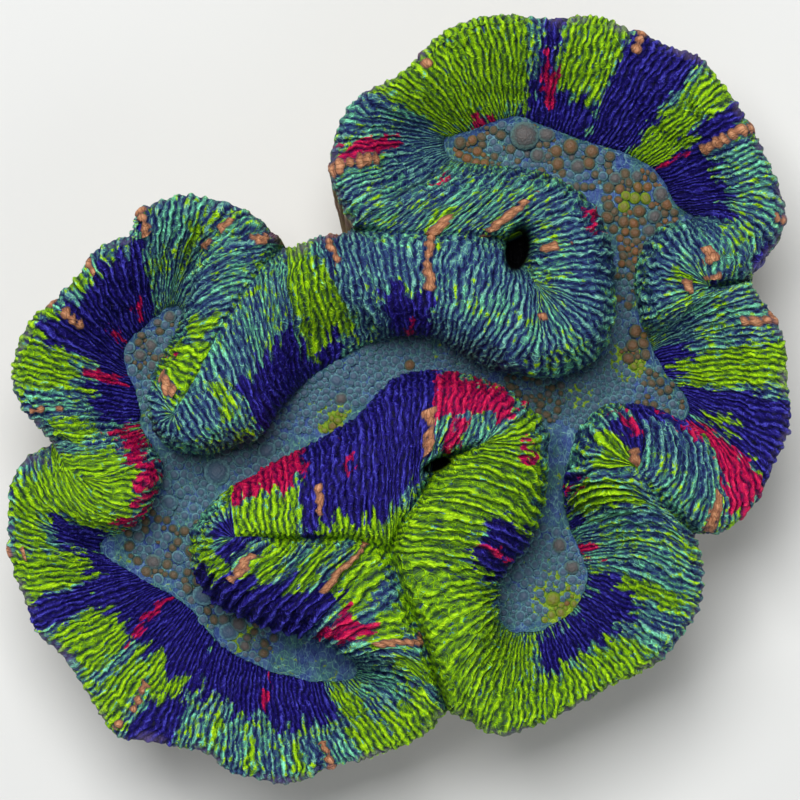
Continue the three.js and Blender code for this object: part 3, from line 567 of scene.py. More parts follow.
def ridge_phase(points):
    """Counts the ridges along the crest; a whole number lies on a ridge's top."""
    crest = points[:, CREST_ROW]
    steps = length(np.roll(crest, -1, axis=0) - crest)
    along = np.concatenate([[0], np.cumsum(steps)[:-1]])
    ridges = round(steps.sum() / RIDGE_SPACING)
    return along / steps.sum() * ridges, steps.sum() / ridges, ridges


def ridge_profile(phase):
    """1 on a ridge's crest and 0 in the groove beside it."""
    off = np.abs(phase - np.round(phase)) * 2
    return 1 - off**1.7


# Ripples of the wall: (height, size in mm, seed).
STRAYING = [(0.34, 9.0, 1), (0.2, 3.0, 2), (0.12, 1.3, 8)]  # in ridges, sideways
LUMPS = [(0.55, 13.0, 7), (0.22, 4.5, 10)]  # in mm, outwards
CRINKLE_HEIGHT = 0.13
SPLIT_FROM, SPLIT_TO = 1.7, 2.6  # a ridge as wide as this splits in two
PLEAT_DEPTH = 1.1
EVEN_SHADE = 0.62  # the shade that weak ridges come near to
BEAD_LEVEL, BEAD_HEIGHT = -0.25, 0.85


def ripples(place, rows):
    return sum(height * ripple(place, size, seed) for height, size, seed in rows)


def wander(place):
    """How far the ridges stray sideways, as a share of their spacing."""
    return 0.3 * ripple(place * [1.0, 0.25], 5.5, 11) + ripples(place, STRAYING)


def measure_ridges(wall):
    """Where every point of the wall is among the ridges, and how wide they are there."""
    points = wall["plain"]
    steps_up = np.concatenate([np.zeros((len(points), 1)), length(np.diff(points, axis=1))], axis=1)
    wall["up"] = np.cumsum(steps_up, axis=1)
    per_column = (np.roll(wall["phase"], -1) - wall["phase"]) % wall["ridges"]
    wall["width"] = length(along_step(points)) / np.maximum(per_column, 1e-6)[:, None]
    along = np.broadcast_to(wall["unrolled"][:, None], wall["up"].shape)
    wall["place"] = np.stack([along, wall["up"]], axis=2)
    wall["bent"] = wall["phase"][:, None] + wander(wall["place"])


def ridge_strength(wall):
    """How strong each ridge is on its way from foot to rim; 1 is a plain one."""
    own = per_ridge(np.round(wall["bent"]), 3)
    uneven = ripple(wall["place"] * [2.0, 1.0], 4.0, 9)
    return np.clip(0.4 + 0.85 * own + 0.3 * uneven, 0.2, 1.4)


def ridge_depth(shares, strength, width):
    """How deep the grooves are: shallow at the foot, and never steep where ridges crowd."""
    depth = RIDGE_DEPTH * (0.3 + 0.7 * smooth_step(0.02, 0.4, shares)) * strength
    return np.minimum(depth, 0.52 * width)


def wall_relief(wall):
    """Fills in the ridges' height at every point of the wall, and the fine values that colour it."""
    points, place, bent, width = wall["plain"], wall["place"], wall["bent"], wall["width"]
    shares = np.linspace(0, 1, bent.shape[1])[None, :]
    on_seam, pleat = wall["on_seam"][:, None], wall["pleat"][:, None]
    body = smooth_step(0.12, 0.35, shares) * (1 - np.where(on_seam, smooth_step(0.8, 0.98, shares), 0.0))
    between = body * (1 - ridge_profile(bent / 2 + 0.1 * ripple(place, 7.0, 4)))
    strength, ridge = ridge_strength(wall), ridge_profile(bent)
    split = smooth_step(SPLIT_FROM, SPLIT_TO, width) * (1 - ridge_profile(bent * 2 + 0.5))

    relief = -ridge_depth(shares, strength, width) * (1 - ridge + 0.3 * split)
    relief -= PLEAT_DEPTH * pleat * between
    crinkle = CRINKLE_HEIGHT * ripple(place * [1.0, 0.5], 0.75, 5) + 0.12 * ripple(place, 1.0, 6)
    relief += crinkle * np.minimum(1, width / 1.2) * (0.4 + 0.6 * smooth_step(0, 0.3, shares))
    relief += ripples(points, LUMPS) * body
    beads = bead_field(wall)
    relief = np.where(beads > 0, mix(relief, BEAD_LEVEL, 0.7), relief) + BEAD_HEIGHT * beads
    fade = np.where(on_seam, smooth_step(0.95, 1.0, shares), 0.45 * smooth_step(0.85, 1.0, shares))
    wall["relief"] = relief * (1 - fade)

    # The value that colours the flesh: painted shade in the grooves, where a ridge splits and between pleats,
    # and painted highlight on the crests.
    shade = ridge * (1 - 0.35 * split) + 0.1 * pleat * body - np.minimum(0.42 * pleat, 0.5) * between
    shade = mix(EVEN_SHADE, shade, 0.45 + 0.55 * np.minimum(strength, 1)) + 0.12 * (strength - 0.8)
    wall["ridge"] = np.clip(shade, 0, 1)
    wall["margin"] = np.where(on_seam, 0.0, smooth_step(0.9, 0.99, wall["across"]))
    wall["beads"] = beads


def column_at(wall, name, station):
    """The column of a stretch that is nearest to a station."""
    member = np.flatnonzero(wall["name"] == name)
    return member[np.argmin(np.abs(wall["station"][member] - station))]


BEAD_GAP = 1.9  # from bead to bead up a ridge
BEAD_RADIUS = 1.22
BEADS_MISSING = 0.14  # the share of a chain's beads that are left out


def bead_field(wall):
    """The height of the round beads that sit in a row on some ridges: 1 on a bead's top, 0 off it."""
    height = np.zeros(wall["bent"].shape)
    for name, chains in BEADED_RIDGES.items():
        for station, low, high in chains:
            add_beads(height, wall, column_at(wall, name, station), low, high)
    return height


def add_beads(height, wall, column, low, high):
    """Raises a chain of beads on the ridge that is nearest to a column."""
    middle = round(float(wall["phase"][column]))
    near = np.flatnonzero(np.abs(wall["phase"] - middle) < 4)
    up, across = wall["up"][near], wall["across"][near]
    count = np.round(up / BEAD_GAP)
    girth = BEAD_RADIUS * (0.8 + 0.35 * per_ridge(count, middle % 97))
    aside = (wall["bent"][near] - middle) * wall["width"][near]
    aside += 0.35 * (per_ridge(count, 5 + middle % 89) - 0.5)
    off = np.hypot(aside, up - count * BEAD_GAP) / girth
    dome = np.sqrt(np.clip(1 - off**2, 0, 1))
    there = (across > low - 0.02) & (across < high + 0.02)
    there &= per_ridge(count, 7 + middle % 83) > BEADS_MISSING
    height[near] = np.maximum(height[near], dome * there)


NO_EDGE = 9.0  # mm, farther than any edge of a mark counts
MARK_BLUR = 3.0  # mm


def mark_field(wall, marks, seed):
    """How far inside a finish's marks every point is, in mm, with each ridge ending at its own place."""
    jag = (per_ridge(np.round(wall["bent"]), seed) - 0.5) * 0.2
    fray = 0.6 * ripple(np.stack([wall["bent"] * 1.4, wall["up"]], axis=2), 3.0, seed)
    field = np.full(wall["across"].shape, -MARK_BLUR)
    for name, spans in marks.items():
        member = np.flatnonzero(wall["name"] == name)
        for span in spans:
            inside = inside_mark(wall, member, wall["last"][name], jag[member], *span)
            field[member] = np.maximum(field[member], inside + fray[member])
    return np.clip(field, -MARK_BLUR, MARK_BLUR)


def inside_mark(wall, member, end, jag, first, last, low, high, lean=0.0):
    """How far inside one mark its stretch's points are. A mark that reaches the stretch's end runs on."""
    here, share = wall["station"][member][:, None], wall["across"][member]
    shift = lean * (share - (low + high) / 2)
    far = np.full(share.shape, NO_EDGE)
    before = here - first - shift if first > 0 else far
    after = last - here + shift if last < end else far
    below = share - low if low > 0 else far
    above = high - share if high < 1 else far
    endways = np.minimum(below - jag, above + jag) * wall["span"][member][:, None]
    sideways = np.minimum(before, after) * wall["station_length"][member][:, None]
    return np.minimum(sideways, endways)


def pit_share(points, x, y, reach_along, reach_across, turn):
    """1 in the middle of a pit, 0 outside it."""
    angle = math.radians(turn)
    off = points[..., :2] - [x, y]
    along = (off[..., 0] * math.cos(angle) + off[..., 1] * math.sin(angle)) / reach_along
    aside = (off[..., 1] * math.cos(angle) - off[..., 0] * math.sin(angle)) / reach_across
    return 1 - smooth_step(0.5, 1.25, np.hypot(along, aside))


def sink_pits(points):
    """Lets the seams fall away where the folds stand apart and leave a hole, which the flesh's finish
    blackens as painted shade.
    """
    for *pit, bottom in PITS:
        points[..., 2] -= np.maximum(points[..., 2] - bottom, 0) * pit_share(points, *pit)
    return points


def make_wall():
    columns = wall_columns()
    points, across = plain_wall(columns)
    phase, spacing, ridges = ridge_phase(points)
    steps = [np.full(count, count) for stretch in WALL for count in stretch["steps"]]
    crest_step = length(along_step(points[:, CREST_ROW]))

    def per_stretch(value_of):
        return np.array([value_of(stretch) for stretch in WALL])[columns["stretch"]]

    wall = {
        "plain": points,
        "across": across,
        "phase": phase,
        "ridges": ridges,
        "unrolled": phase * spacing,
        "name": per_stretch(lambda stretch: stretch["name"]),
        "on_seam": per_stretch(lambda stretch: bool(stretch["seam"])),
        "pleat": smooth_round(per_stretch(lambda stretch: PLEATS.get(stretch["name"], PLAIN_PLEAT)), 40),
        "station": columns["station"],
        "last": {stretch["name"]: len(stretch["stations"]) - 1 for stretch in WALL},
        "span": length(columns["rim"][:, :2] - columns["foot"]),
        "station_length": crest_step * np.concatenate(steps),
        "foot": columns["foot"],
        "rim": columns["rim"],
    }
    measure_ridges(wall)
    wall_relief(wall)
    raised = points + outward(points) * wall["relief"][..., None]
    # How far into a pit each point lies, which sets the painted shade that blackens the pits.
    wall["pit"] = np.max([pit_share(raised, *pit[:-1]) for pit in PITS], axis=0)
    wall["points"] = sink_pits(raised)
    for seed, finish in enumerate(MARKS):
        wall[finish] = mark_field(wall, MARKS[finish], 20 + seed)
    return wall


# ---- Meshes ----
def centre_shift():
    """From the colony's plan coordinates to the frame, so that both boxes have the same middle."""
    low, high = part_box(NODE)
    plan = wall["plain"].reshape(-1, 3)
    middle = (plan.max(0) + plan.min(0)) / 2
    return np.array([(low.x + high.x) * 500 - middle[0], (low.y + high.y) * 500 - middle[1], 0.0])


def metres(points):
    return (np.asarray(points) + shift) * 0.001


def make_mesh(name, points, triangles, values):
    """A mesh from points and triangles. Points in the same place become one; values are kept per point."""
    places, index = np.unique(np.round(points, 4), axis=0, return_inverse=True)
    index = index.reshape(-1)
    joined = index[triangles]
    whole = (joined[:, 0] != joined[:, 1]) & (joined[:, 1] != joined[:, 2]) & (joined[:, 2] != joined[:, 0])
    joined, corners = joined[whole], triangles[whole]

    mesh = bpy.data.meshes.new(name)
    mesh.vertices.add(len(places))
    mesh.vertices.foreach_set("co", metres(places).astype(np.float32).ravel())
    mesh.loops.add(joined.size)
    mesh.loops.foreach_set("vertex_index", joined.astype(np.int32).ravel())
    mesh.polygons.add(len(joined))
    mesh.polygons.foreach_set("loop_start", np.arange(0, joined.size, 3, dtype=np.int32))
    mesh.update(calc_edges=True)
    mesh.polygons.foreach_set("use_smooth", np.ones(len(joined), bool))
    mesh.set_sharp_from_angle(angle=FLAT_CORNER)
    for key, value in values.items():
        if value.ndim == 2:
            layer = mesh.uv_layers.new(name=key)
            layer.uv.foreach_set("vector", value[corners].astype(np.float32).ravel())
            continue
        kept = np.zeros(len(places), np.float32)
        kept[index] = value
        attribute = mesh.attributes.new(key, "FLOAT", "POINT")
        attribute.data.foreach_set("value", kept)
    mesh.validate()
    piece = bpy.data.objects.new(name, mesh)
    bpy.context.scene.collection.objects.link(piece)
    return piece


def strip(first, second):
    """Triangles between two lines of point numbers, facing outwards."""
    a, b, c, d = first[:-1], first[1:], second[1:], second[:-1]
    return np.concatenate([np.stack([a, b, c], axis=1), np.stack([a, c, d], axis=1)])


def inner_lines(members):
    """The two hidden lines behind the flesh: below the rim and below the foot."""
    rim, foot = wall["points"][members, -1], wall["points"][members, 0]
    towards = wall["foot"][members] - rim[:, :2]
    under_rim = rim.copy()
    under_rim[:, :2] += towards * (SKIN / np.maximum(length(towards), 1e-6))[:, None]
    under_rim[:, 2] -= SKIN
    seam = wall["on_seam"][members] | wall["on_seam"][members - 1]
    under_rim[seam] = rim[seam] - [0, 0, SKIN]
    under_foot = foot - [0, 0, SKIN]
    return under_rim, under_foot


def make_mantle(name, first, last):
    """A part of the loop: the ridged flesh, closed behind by a plain hidden surface."""
    start = np.flatnonzero(wall["name"] == first)[0]
    stop = np.flatnonzero(wall["name"] == last)[-1] + 1
    members = np.arange(start, stop + 1) % len(wall["name"])
    under_rim, under_foot = inner_lines(members)
    outer = wall["points"][members]
    rows = outer.shape[1]
    points = np.concatenate([outer, under_rim[:, None], under_foot[:, None]], axis=1)
    count = len(members)
    number = np.arange(count * (rows + 2)).reshape(count, rows + 2)

    triangles = [strip(number[:, row], number[:, row + 1]) for row in range(rows - 1)]
    triangles.append(strip(number[:, rows], number[:, rows + 1]))
    triangles.append(strip(number[:, rows + 1], number[:, 0]))
    open_rim = np.flatnonzero(~wall["on_seam"][members[:-1]])
    for column in open_rim:
        triangles.append(strip(number[column : column + 2, rows - 1], number[column : column + 2, rows]))
    for ring, turn in ((number[0], 1), (number[-1], -1)):
        fan = np.stack([np.full(rows, ring[-1]), ring[:rows], ring[1 : rows + 1]], axis=1)
        triangles.append(fan[:, ::turn])

    def padded(value):
        return np.pad(value[members], ((0, 0), (0, 2)), mode="edge").reshape(-1)

    keys = ["ridge", "beads", "pit", "margin", *MARKS]
    values = {key: padded(wall[key]) for key in keys}
    along = np.broadcast_to(wall["unrolled"][:, None], wall["up"].shape)
    values["WallUV"] = np.stack([padded(along), padded(wall["up"])], axis=1)
    return make_mesh(name, points.reshape(-1, 3), np.concatenate(triangles), values)


def margin_columns():
    """The columns of the open margin in order, each notch once."""
    open_here = ~wall["on_seam"]
    keep = open_here | np.roll(open_here, 1)
    members = np.flatnonzero(keep)
    rim = wall["points"][members, -1]
    apart = length(rim - np.roll(rim, 1, axis=0)) > 1e-3
    return members[apart]


def cut_face_line(rim):
    """Where each point of the margin comes down to on the flat cut face."""
    angles = np.unwrap(np.arctan2(rim[:, 1] - BASE_Y, rim[:, 0] - BASE_X))
    steps = length(np.roll(rim, -1, axis=0) - rim)
    reach = round(BASE_TURN_SMOOTHING / steps.mean() * 2)
    even = -2 * math.pi * np.arange(len(rim)) / len(rim)
    angles = smooth_round(angles - even, reach) + even
    wave = 1 + BASE_WAVINESS * np.sin(BASE_WAVES * angles)
    x = BASE_X + BASE_RADIUS_X * wave * np.cos(angles)
    y = BASE_Y + BASE_RADIUS_Y * wave * np.sin(angles)
    return np.stack([x, y], axis=1)


RIB_DEPTH = 0.7
WALL_OF_STONE = 2.0  # from the outer side to the hidden hollow
OFF_THE_SIDE = 60.0  # "down" of a hidden point, farther than any flesh reaches


def skeleton_side(members, rim, cut):
    """The ribbed side from the rim to the cut: its points, how far down they lie, and the ribs' height."""
    rows = spline(UNDERSIDE_SECTION, [4] * (len(UNDERSIDE_SECTION) - 1))
    plan = mix(rim[:, None, :2], cut[:, None, :], rows[None, :, :1])
    points = np.concatenate([plan, rim[:, None, 2:3] * rows[None, :, 1:2]], axis=2)
    steps_down = np.concatenate([np.zeros((len(rim), 1)), length(np.diff(points, axis=1))], axis=1)
    down = np.cumsum(steps_down, axis=1)
    ribs = ridge_profile(wall["phase"][members][:, None] + 0.06 * ripple(points, 7.0, 40))
    fade = smooth_step(0, 1.5, down) * smooth_step(0, 3, points[..., 2])
    spacing = length(along_step(points)) / np.maximum(length(along_step(points[:, :1])), 1e-6)
    relief = -RIB_DEPTH * np.minimum(1, spacing) * (1 - ribs) + 0.5 * ripple(points, 9.0, 41)
    return points + outward(points) * (relief * fade)[..., None], down, ribs


def skeleton_hollow(rim, cut):
    """The plain hidden side behind the ribbed one."""
    lines = [np.concatenate([mix(rim[:, :2], cut, share), rim[:, 2:3] * rise + WALL_OF_STONE], axis=1)
        for share, rise in UNDERSIDE_SECTION[2:-1]]
    return np.stack(lines, axis=1)


def skeleton_values(members, down, ribs, hidden):
    """What the finish reads at every point. The flesh's marks run on over the rim."""
    off = np.full(hidden, OFF_THE_SIDE)
    none = np.zeros(hidden)
    values = {"down": np.concatenate([down.reshape(-1), off])}
    values["ridge"] = np.concatenate([ribs.reshape(-1), none])
    for mark in MARKS:
        values[mark] = np.concatenate([np.repeat(wall[mark][members, -1], down.shape[1]), none])
    along = np.broadcast_to(wall["unrolled"][members][:, None], down.shape)
    onward = wall["up"][members, -1:] + down
    unrolled = np.stack([along.reshape(-1), onward.reshape(-1)], axis=1)
    values["WallUV"] = np.concatenate([unrolled, np.zeros((hidden, 2))])
    return values


def make_skeleton():
    """The ribbed stony goblet below the rim, cut off flat, with a hidden hollow side under the flesh."""
    members = margin_columns()
    rim = wall["points"][members, -1]
    cut = cut_face_line(wall["rim"][members])
    side, down, ribs = skeleton_side(members, rim, cut)
    inner = skeleton_hollow(rim, cut)
    number = np.arange(down.size).reshape(down.shape)
    inside = np.arange(inner[..., 0].size).reshape(inner.shape[:2]) + number.size
    base_centre = number.size + inside.size
    roof_centre = base_centre + 1

    outer_rings = [closed_ring(number[:, row]) for row in range(number.shape[1])]
    inner_rings = [outer_rings[0]] + [closed_ring(inside[:, row]) for row in range(inside.shape[1])]
    triangles = [strip(a, b) for a, b in zip(outer_rings, outer_rings[1:])]
    triangles += [strip(b, a) for a, b in zip(inner_rings, inner_rings[1:])]
    triangles.append(fan_to(base_centre, outer_rings[-1])[:, ::-1])
    triangles.append(fan_to(roof_centre, inner_rings[-1]))
    centres = [[BASE_X, BASE_Y, 0.0], [BASE_X, BASE_Y, 6.0]]
    everything = np.concatenate([side.reshape(-1, 3), inner.reshape(-1, 3), centres])
    values = skeleton_values(members, down, ribs, inside.size + len(centres))
    return make_mesh("skeleton", everything, np.concatenate(triangles), values)


def closed_ring(line):
    return np.append(line, line[0])


def fan_to(centre, line):
    return np.stack([np.full(len(line) - 1, centre), line[1:], line[:-1]], axis=1)


def floor_outline():
    """The valley floor's edge, a little way under the walls' feet."""
    foot = wall["points"][:, 0, :2]
    keep = [0]
    for index in range(1, len(foot)):
        if math.dist(foot[index], foot[keep[-1]]) > FLOOR_EDGE_STEP:
            keep.append(index)
    line = foot[keep]
    way = np.roll(line, -1, axis=0) - np.roll(line, 1, axis=0)
    side = np.stack([-way[:, 1], way[:, 0]], axis=1) / np.maximum(length(way), 1e-6)[:, None]
    return line + side * FLOOR_TUCK


def inside_outline(points, outline):
    """Which points lie inside a closed outline, by counting the edges that a level line crosses."""
    inside = np.zeros(len(points), bool)
    for (ax, ay), (bx, by) in zip(outline, np.roll(outline, -1, axis=0)):
        crosses = (ay > points[:, 1]) != (by > points[:, 1])
        with np.errstate(divide="ignore", invalid="ignore"):
            at = ax + (points[:, 1] - ay) * (bx - ax) / (by - ay)
        inside ^= crosses & (points[:, 0] < at)
    return inside


def edge_tree(outline):
    tree = kdtree.KDTree(len(outline))
    for index, (x, y) in enumerate(outline):
        tree.insert((x, y, 0), index)
    tree.balance()
    return tree


def distances(points, tree):
    return np.array([tree.find((x, y, 0))[2] for x, y in points])


def floor_height(points, edge):
    """The valley floor dishes down from the walls, with soft folds."""
    lift = FLOOR_LIFT * np.exp(-edge / FLOOR_LIFT_REACH)
    folds = 0.3 * ripple(points, 5.0, 50) + 0.14 * ripple(points, 1.6, 51)
    return VALLEY_Z - FLOOR_DIP + lift + folds * smooth_step(0, 1.5, edge)


def patch_field(plan):
    """1 in the middle of a yellow-green patch, 0 outside them all."""
    field = np.zeros(len(plan))
    for x, y, reach in FLOOR_PATCHES:
        field = np.maximum(field, 1 - length(plan - [x, y]) / reach)
    return field


def make_floor(outline, tree):
    columns, rows = (np.arange(*ends, FLOOR_GRAIN) for ends in zip(outline.min(0), outline.max(0)))
    x, y = np.meshgrid(columns, rows)
    x[1::2] += FLOOR_GRAIN / 2
    spots = np.stack([x.ravel(), y.ravel()], axis=1)
    spots = spots[inside_outline(spots, outline)]
    spots = spots[distances(spots, tree) > 0.3]
    plan = np.concatenate([outline, spots])
    loop = [(k, (k + 1) % len(outline)) for k in range(len(outline))]
    found = geometry.delaunay_2d_cdt([Vector(point) for point in plan], loop, [], 1, 1e-5)
    plan = np.array([tuple(point) for point in found[0]])
    faces = np.array(found[2])
    edge = distances(plan, tree)
    top = np.concatenate([plan, floor_height(plan, edge)[:, None]], axis=1)
    bottom = np.concatenate([plan, np.full((len(plan), 1), VALLEY_Z - FLOOR_THICKNESS)], axis=1)

    turns = np.cross(plan[faces[:, 1]] - plan[faces[:, 0]], plan[faces[:, 2]] - plan[faces[:, 0]])
    faces = np.where(turns[:, None] > 0, faces, faces[:, ::-1])
    border = border_edges(faces)
    a, b, down = border[:, 0], border[:, 1], len(plan)
    side = np.concatenate([np.stack([a, a + down, b + down], axis=1), np.stack([a, b + down, b], axis=1)])
    triangles = np.concatenate([faces, faces[:, ::-1] + down, side])
    patch = patch_field(plan)
    values = {"patch": np.concatenate([patch, patch])}
    return make_mesh("valley_floor", np.concatenate([top, bottom]), triangles, values)


def border_edges(faces):
    """The edges that only one triangle has, in that triangle's direction."""
    edges = np.concatenate([faces[:, [0, 1]], faces[:, [1, 2]], faces[:, [2, 0]]])
    known = {(a, b) for a, b in edges.tolist()}
    return np.array([(a, b) for a, b in edges.tolist() if (b, a) not in known])


# ---- Blisters on the valley floor ----
def place_blisters(outline, tree):
    """Large blisters as listed and beds of small ones, close but hardly overlapping: (x, y, radius, tint)."""
    random = np.random.default_rng(9)
    placed = list(BIG_BLISTERS)
    for x, y, reach, radius, share, tint in BLISTER_BEDS:
        others = [other for other in placed if math.dist(other[:2], (x, y)) < reach + 4]
        before = len(others)
        for scale in (1.0, 0.62):
            tries = int(share * 24 * (reach / radius) ** 2)
            angle = random.uniform(0, 2 * math.pi, tries)
            away = reach * np.sqrt(random.uniform(0, 1, tries))
            girth = radius * scale * random.uniform(0.8, 1.25, tries)
            shade = tint + random.uniform(-0.16, 0.16, tries)
            spots = np.stack([x + away * np.cos(angle), y + away * np.sin(angle)], axis=1)
            for spot, g, own in zip(spots.tolist(), girth.tolist(), shade.tolist()):
                if all(math.dist(spot, other[:2]) > BLISTER_OVERLAP * (g + other[2]) for other in others):
                    others.append((*spot, g, own))
        placed += others[before:]
    placed = np.array(placed)
    inside = inside_outline(placed[:, :2], outline)
    placed = placed[inside]
    edge = distances(placed[:, :2], tree)
    return placed[edge > 0.45 * placed[:, 2]]


# ---- Nodes ----
def colour(code):
    """A colour written as six hex digits, as linear light."""
    parts = [int(code[k : k + 2], 16) / 255 for k in (0, 2, 4)]
    return [*(part / 12.92 if part <= 0.04045 else ((part + 0.055) / 1.055) ** 2.4 for part in parts), 1.0]


def feed(tree, value, socket):
    """Joins another node's output to a socket, or sets the socket's own value."""
    if isinstance(value, bpy.types.NodeSocket):
        tree.links.new(value, socket)
    else:
        socket.default_value = colour(value) if socket.type == "RGBA" else value


def add_node(tree, kind, inputs=None, **settings):
    node = tree.nodes.new(kind)
    for key, value in settings.items():
        setattr(node, key, value)
    for key, value in (inputs or {}).items():
        feed(tree, value, node.inputs[key])
    return node


BLISTER_INPUTS = [("Points", "Geometry", None), ("Flatness", "Float", 0.62), ("Sides", "Int", 10),
    ("Seed", "Int", 3), ("Finish", "Material", None)]


def blister_tree():
    """Instances a low, many-sided dome on each point, sized by its girth and turned at random."""
    tree = bpy.data.node_groups.new("Blisters", "GeometryNodeTree")
    for name, kind, value in BLISTER_INPUTS:
        socket = tree.interface.new_socket(name, in_out="INPUT", socket_type="NodeSocket" + kind)
        if value is not None:
            socket.default_value = value
    tree.interface.new_socket("Blisters", in_out="OUTPUT", socket_type="NodeSocketGeometry")

    def add(kind, inputs=None, **settings):
        return add_node(tree, kind, inputs, **settings).outputs

    source = add("NodeGroupInput")
    dome = add("GeometryNodeMeshUVSphere", {"Segments": source["Sides"], "Rings": 6, "Radius": 1.0})
    height = add("ShaderNodeSeparateXYZ", {0: add("GeometryNodeInputPosition")[0]})["Z"]
    kept = {"Geometry": dome["Mesh"], "Name": "lift", "Value": height}
    lifted = add("GeometryNodeStoreNamedAttribute", kept, data_type="FLOAT", domain="POINT")
    girth = add("GeometryNodeInputNamedAttribute", {"Name": "girth"}, data_type="FLOAT")["Attribute"]
    uneven = add("FunctionNodeRandomValue", {"Min": 0.8, "Max": 1.2, "Seed": source["Seed"]})[1]
    angle = add("FunctionNodeRandomValue", {"Max": 2 * math.pi, "Seed": source["Seed"]})[1]
    wide = add("ShaderNodeMath", {0: girth, 1: uneven}, operation="MULTIPLY")[0]
    tall = add("ShaderNodeMath", {0: girth, 1: source["Flatness"]}, operation="MULTIPLY")[0]
    size = add("ShaderNodeCombineXYZ", {"X": wide, "Y": girth, "Z": tall})[0]
    turn = add("ShaderNodeCombineXYZ", {"Z": angle})[0]
    scattered = add("GeometryNodeInstanceOnPoints", {"Points": source["Points"],
        "Instance": lifted["Geometry"], "Rotation": turn, "Scale": size})[0]
    real = add("GeometryNodeRealizeInstances", {0: scattered})[0]
    smooth = add("GeometryNodeSetShadeSmooth", {"Geometry": real})[0]
    painted = add("GeometryNodeSetMaterial", {"Geometry": smooth, "Material": source["Finish"]})[0]
    add("NodeGroupOutput", {0: painted})
    return tree


def set_inputs(modifier, **values):
    """Sets a tree's named inputs by their sockets' identifiers."""
    for item in modifier.node_group.interface.items_tree:
        if item.in_out == "INPUT" and item.name in values:
            modifier[item.identifier] = values[item.name]


BLISTER_RISE = 0.05  # of a blister's radius, how far its middle is above the floor


def make_blisters(outline, tree, finish):
    placed = place_blisters(outline, tree)
    edge = distances(placed[:, :2], tree)
    height = floor_height(placed[:, :2], edge) + BLISTER_RISE * placed[:, 2]
    points = np.concatenate([placed[:, :2], height[:, None]], axis=1)
    bed = bpy.data.meshes.new("blister_bed")
    bed.vertices.add(len(points))
    bed.vertices.foreach_set("co", metres(points).astype(np.float32).ravel())
    for key, value in (("girth", placed[:, 2] * 0.001), ("tint", placed[:, 3])):
        attribute = bed.attributes.new(key, "FLOAT", "POINT")
        attribute.data.foreach_set("value", value.astype(np.float32))
    bed_object = bpy.data.objects.new("blister_bed", bed)
    bpy.context.scene.collection.objects.link(bed_object)
    modifier = bed_object.modifiers.new("Blisters", "NODES")
    modifier.node_group = blister_tree()
    set_inputs(modifier, Flatness=0.75, Sides=12, Seed=5, Finish=finish)
    bpy.context.view_layer.update()
    drawn = bed_object.evaluated_get(bpy.context.evaluated_depsgraph_get())
    mesh = bpy.data.meshes.new_from_object(drawn)
    mesh.name = "vesicles"
    piece = bpy.data.objects.new("vesicles", mesh)
    bpy.context.scene.collection.objects.link(piece)
    bpy.data.objects.remove(bed_object)
    return piece


# ---- Materials ----
class Finish:
    """A material under construction, with short ways to add its nodes."""

    def __init__(self, name, roughness, gloss=0.3):
        self.material = bpy.data.materials.new(name)
        self.material.use_nodes = True
        self.tree = self.material.node_tree
        self.shader = self.tree.nodes["Principled BSDF"]
        self.shader.inputs["Roughness"].default_value = roughness
        self.shader.inputs["Specular IOR Level"].default_value = gloss

    def add(self, kind, inputs=None, **settings):
        return add_node(self.tree, kind, inputs, **settings).outputs

    def value_of(self, name):
        return self.add("ShaderNodeAttribute", attribute_name=name)["Fac"]

    def stretched(self, output, x, y, z):
        return self.add("ShaderNodeMapping", {"Vector": output, "Scale": (x, y, z)})[0]

    def wall_place(self, along, up):
        """The place on the unrolled wall, in millimetres, stretched by these two amounts."""
        return self.stretched(self.add("ShaderNodeUVMap", uv_map="WallUV")[0], along, up, 1)

    def place(self):
        """The place in the colony, in millimetres."""
        return self.stretched(self.add("ShaderNodeTexCoord")["Object"], 1000, 1000, 1000)

    def noise(self, place, size, detail=2.0, roughness=0.55):
        inputs = {"Vector": place, "Scale": 1 / size, "Detail": detail, "Roughness": roughness}
        return self.add("ShaderNodeTexNoise", inputs)["Fac"]

    def cells(self, place, size, feature="F1"):
        inputs = {"Vector": place, "Scale": 1 / size}
        return self.add("ShaderNodeTexVoronoi", inputs, feature=feature)["Distance"]

    def web(self, place, size):
        """Distance from the nearest line of an uneven net of cells of that size."""
        return self.cells(place, size, "DISTANCE_TO_EDGE")

    def sum(self, first, *rest):
        """first plus each (output, factor) of the rest."""
        total = first
        for output, factor in rest:
            total = self.add("ShaderNodeMath", {0: output, 1: factor, 2: total}, operation="MULTIPLY_ADD")[0]
        return total

    def times(self, first, second):
        return self.add("ShaderNodeMath", {0: first, 1: second}, operation="MULTIPLY")[0]

    def rise(self, output, low, high):
        """0 below low, 1 above high."""
        inputs = {"Value": output, "From Min": low, "From Max": high}
        return self.add("ShaderNodeMapRange", inputs, interpolation_type="SMOOTHSTEP")[0]

    def ramp(self, output, *codes, stops=None):
        """Colours in order, at these stops or evenly spaced from 0 to 1."""
        node = add_node(self.tree, "ShaderNodeValToRGB", {"Fac": output})
        elements = node.color_ramp.elements
        while len(elements) < len(codes):
            elements.new(0.5)
        for index, code in enumerate(codes):
            elements[index].position = stops[index] if stops else index / (len(codes) - 1)
            elements[index].color = colour(code)
        return node.outputs["Color"]

    def tinted(self, shade, name):
        """One of the flesh's tints, from groove to crest, darker in the groove as painted shade and lighter
        on the crest as painted highlight.
        """
        return self.ramp(shade, *FLESH_TINTS[name], stops=CREST_STOPS)

    def blend(self, share, first, second):
        """first where share is 0, second where it is 1."""
        return self.add("ShaderNodeMix", {0: share, 6: first, 7: second}, data_type="RGBA")[2]

    def bump(self, height, depth):
        """Fine relief, depth in millimetres."""
        inputs = {"Strength": 0.8, "Distance": depth * 0.001, "Height": height}
        feed(self.tree, self.add("ShaderNodeBump", inputs)[0], self.shader.inputs["Normal"])

    def done(self, base, rough=None):
        feed(self.tree, base, self.shader.inputs["Base Color"])
        if rough is not None:
            feed(self.tree, rough, self.shader.inputs["Roughness"])
        return self.material
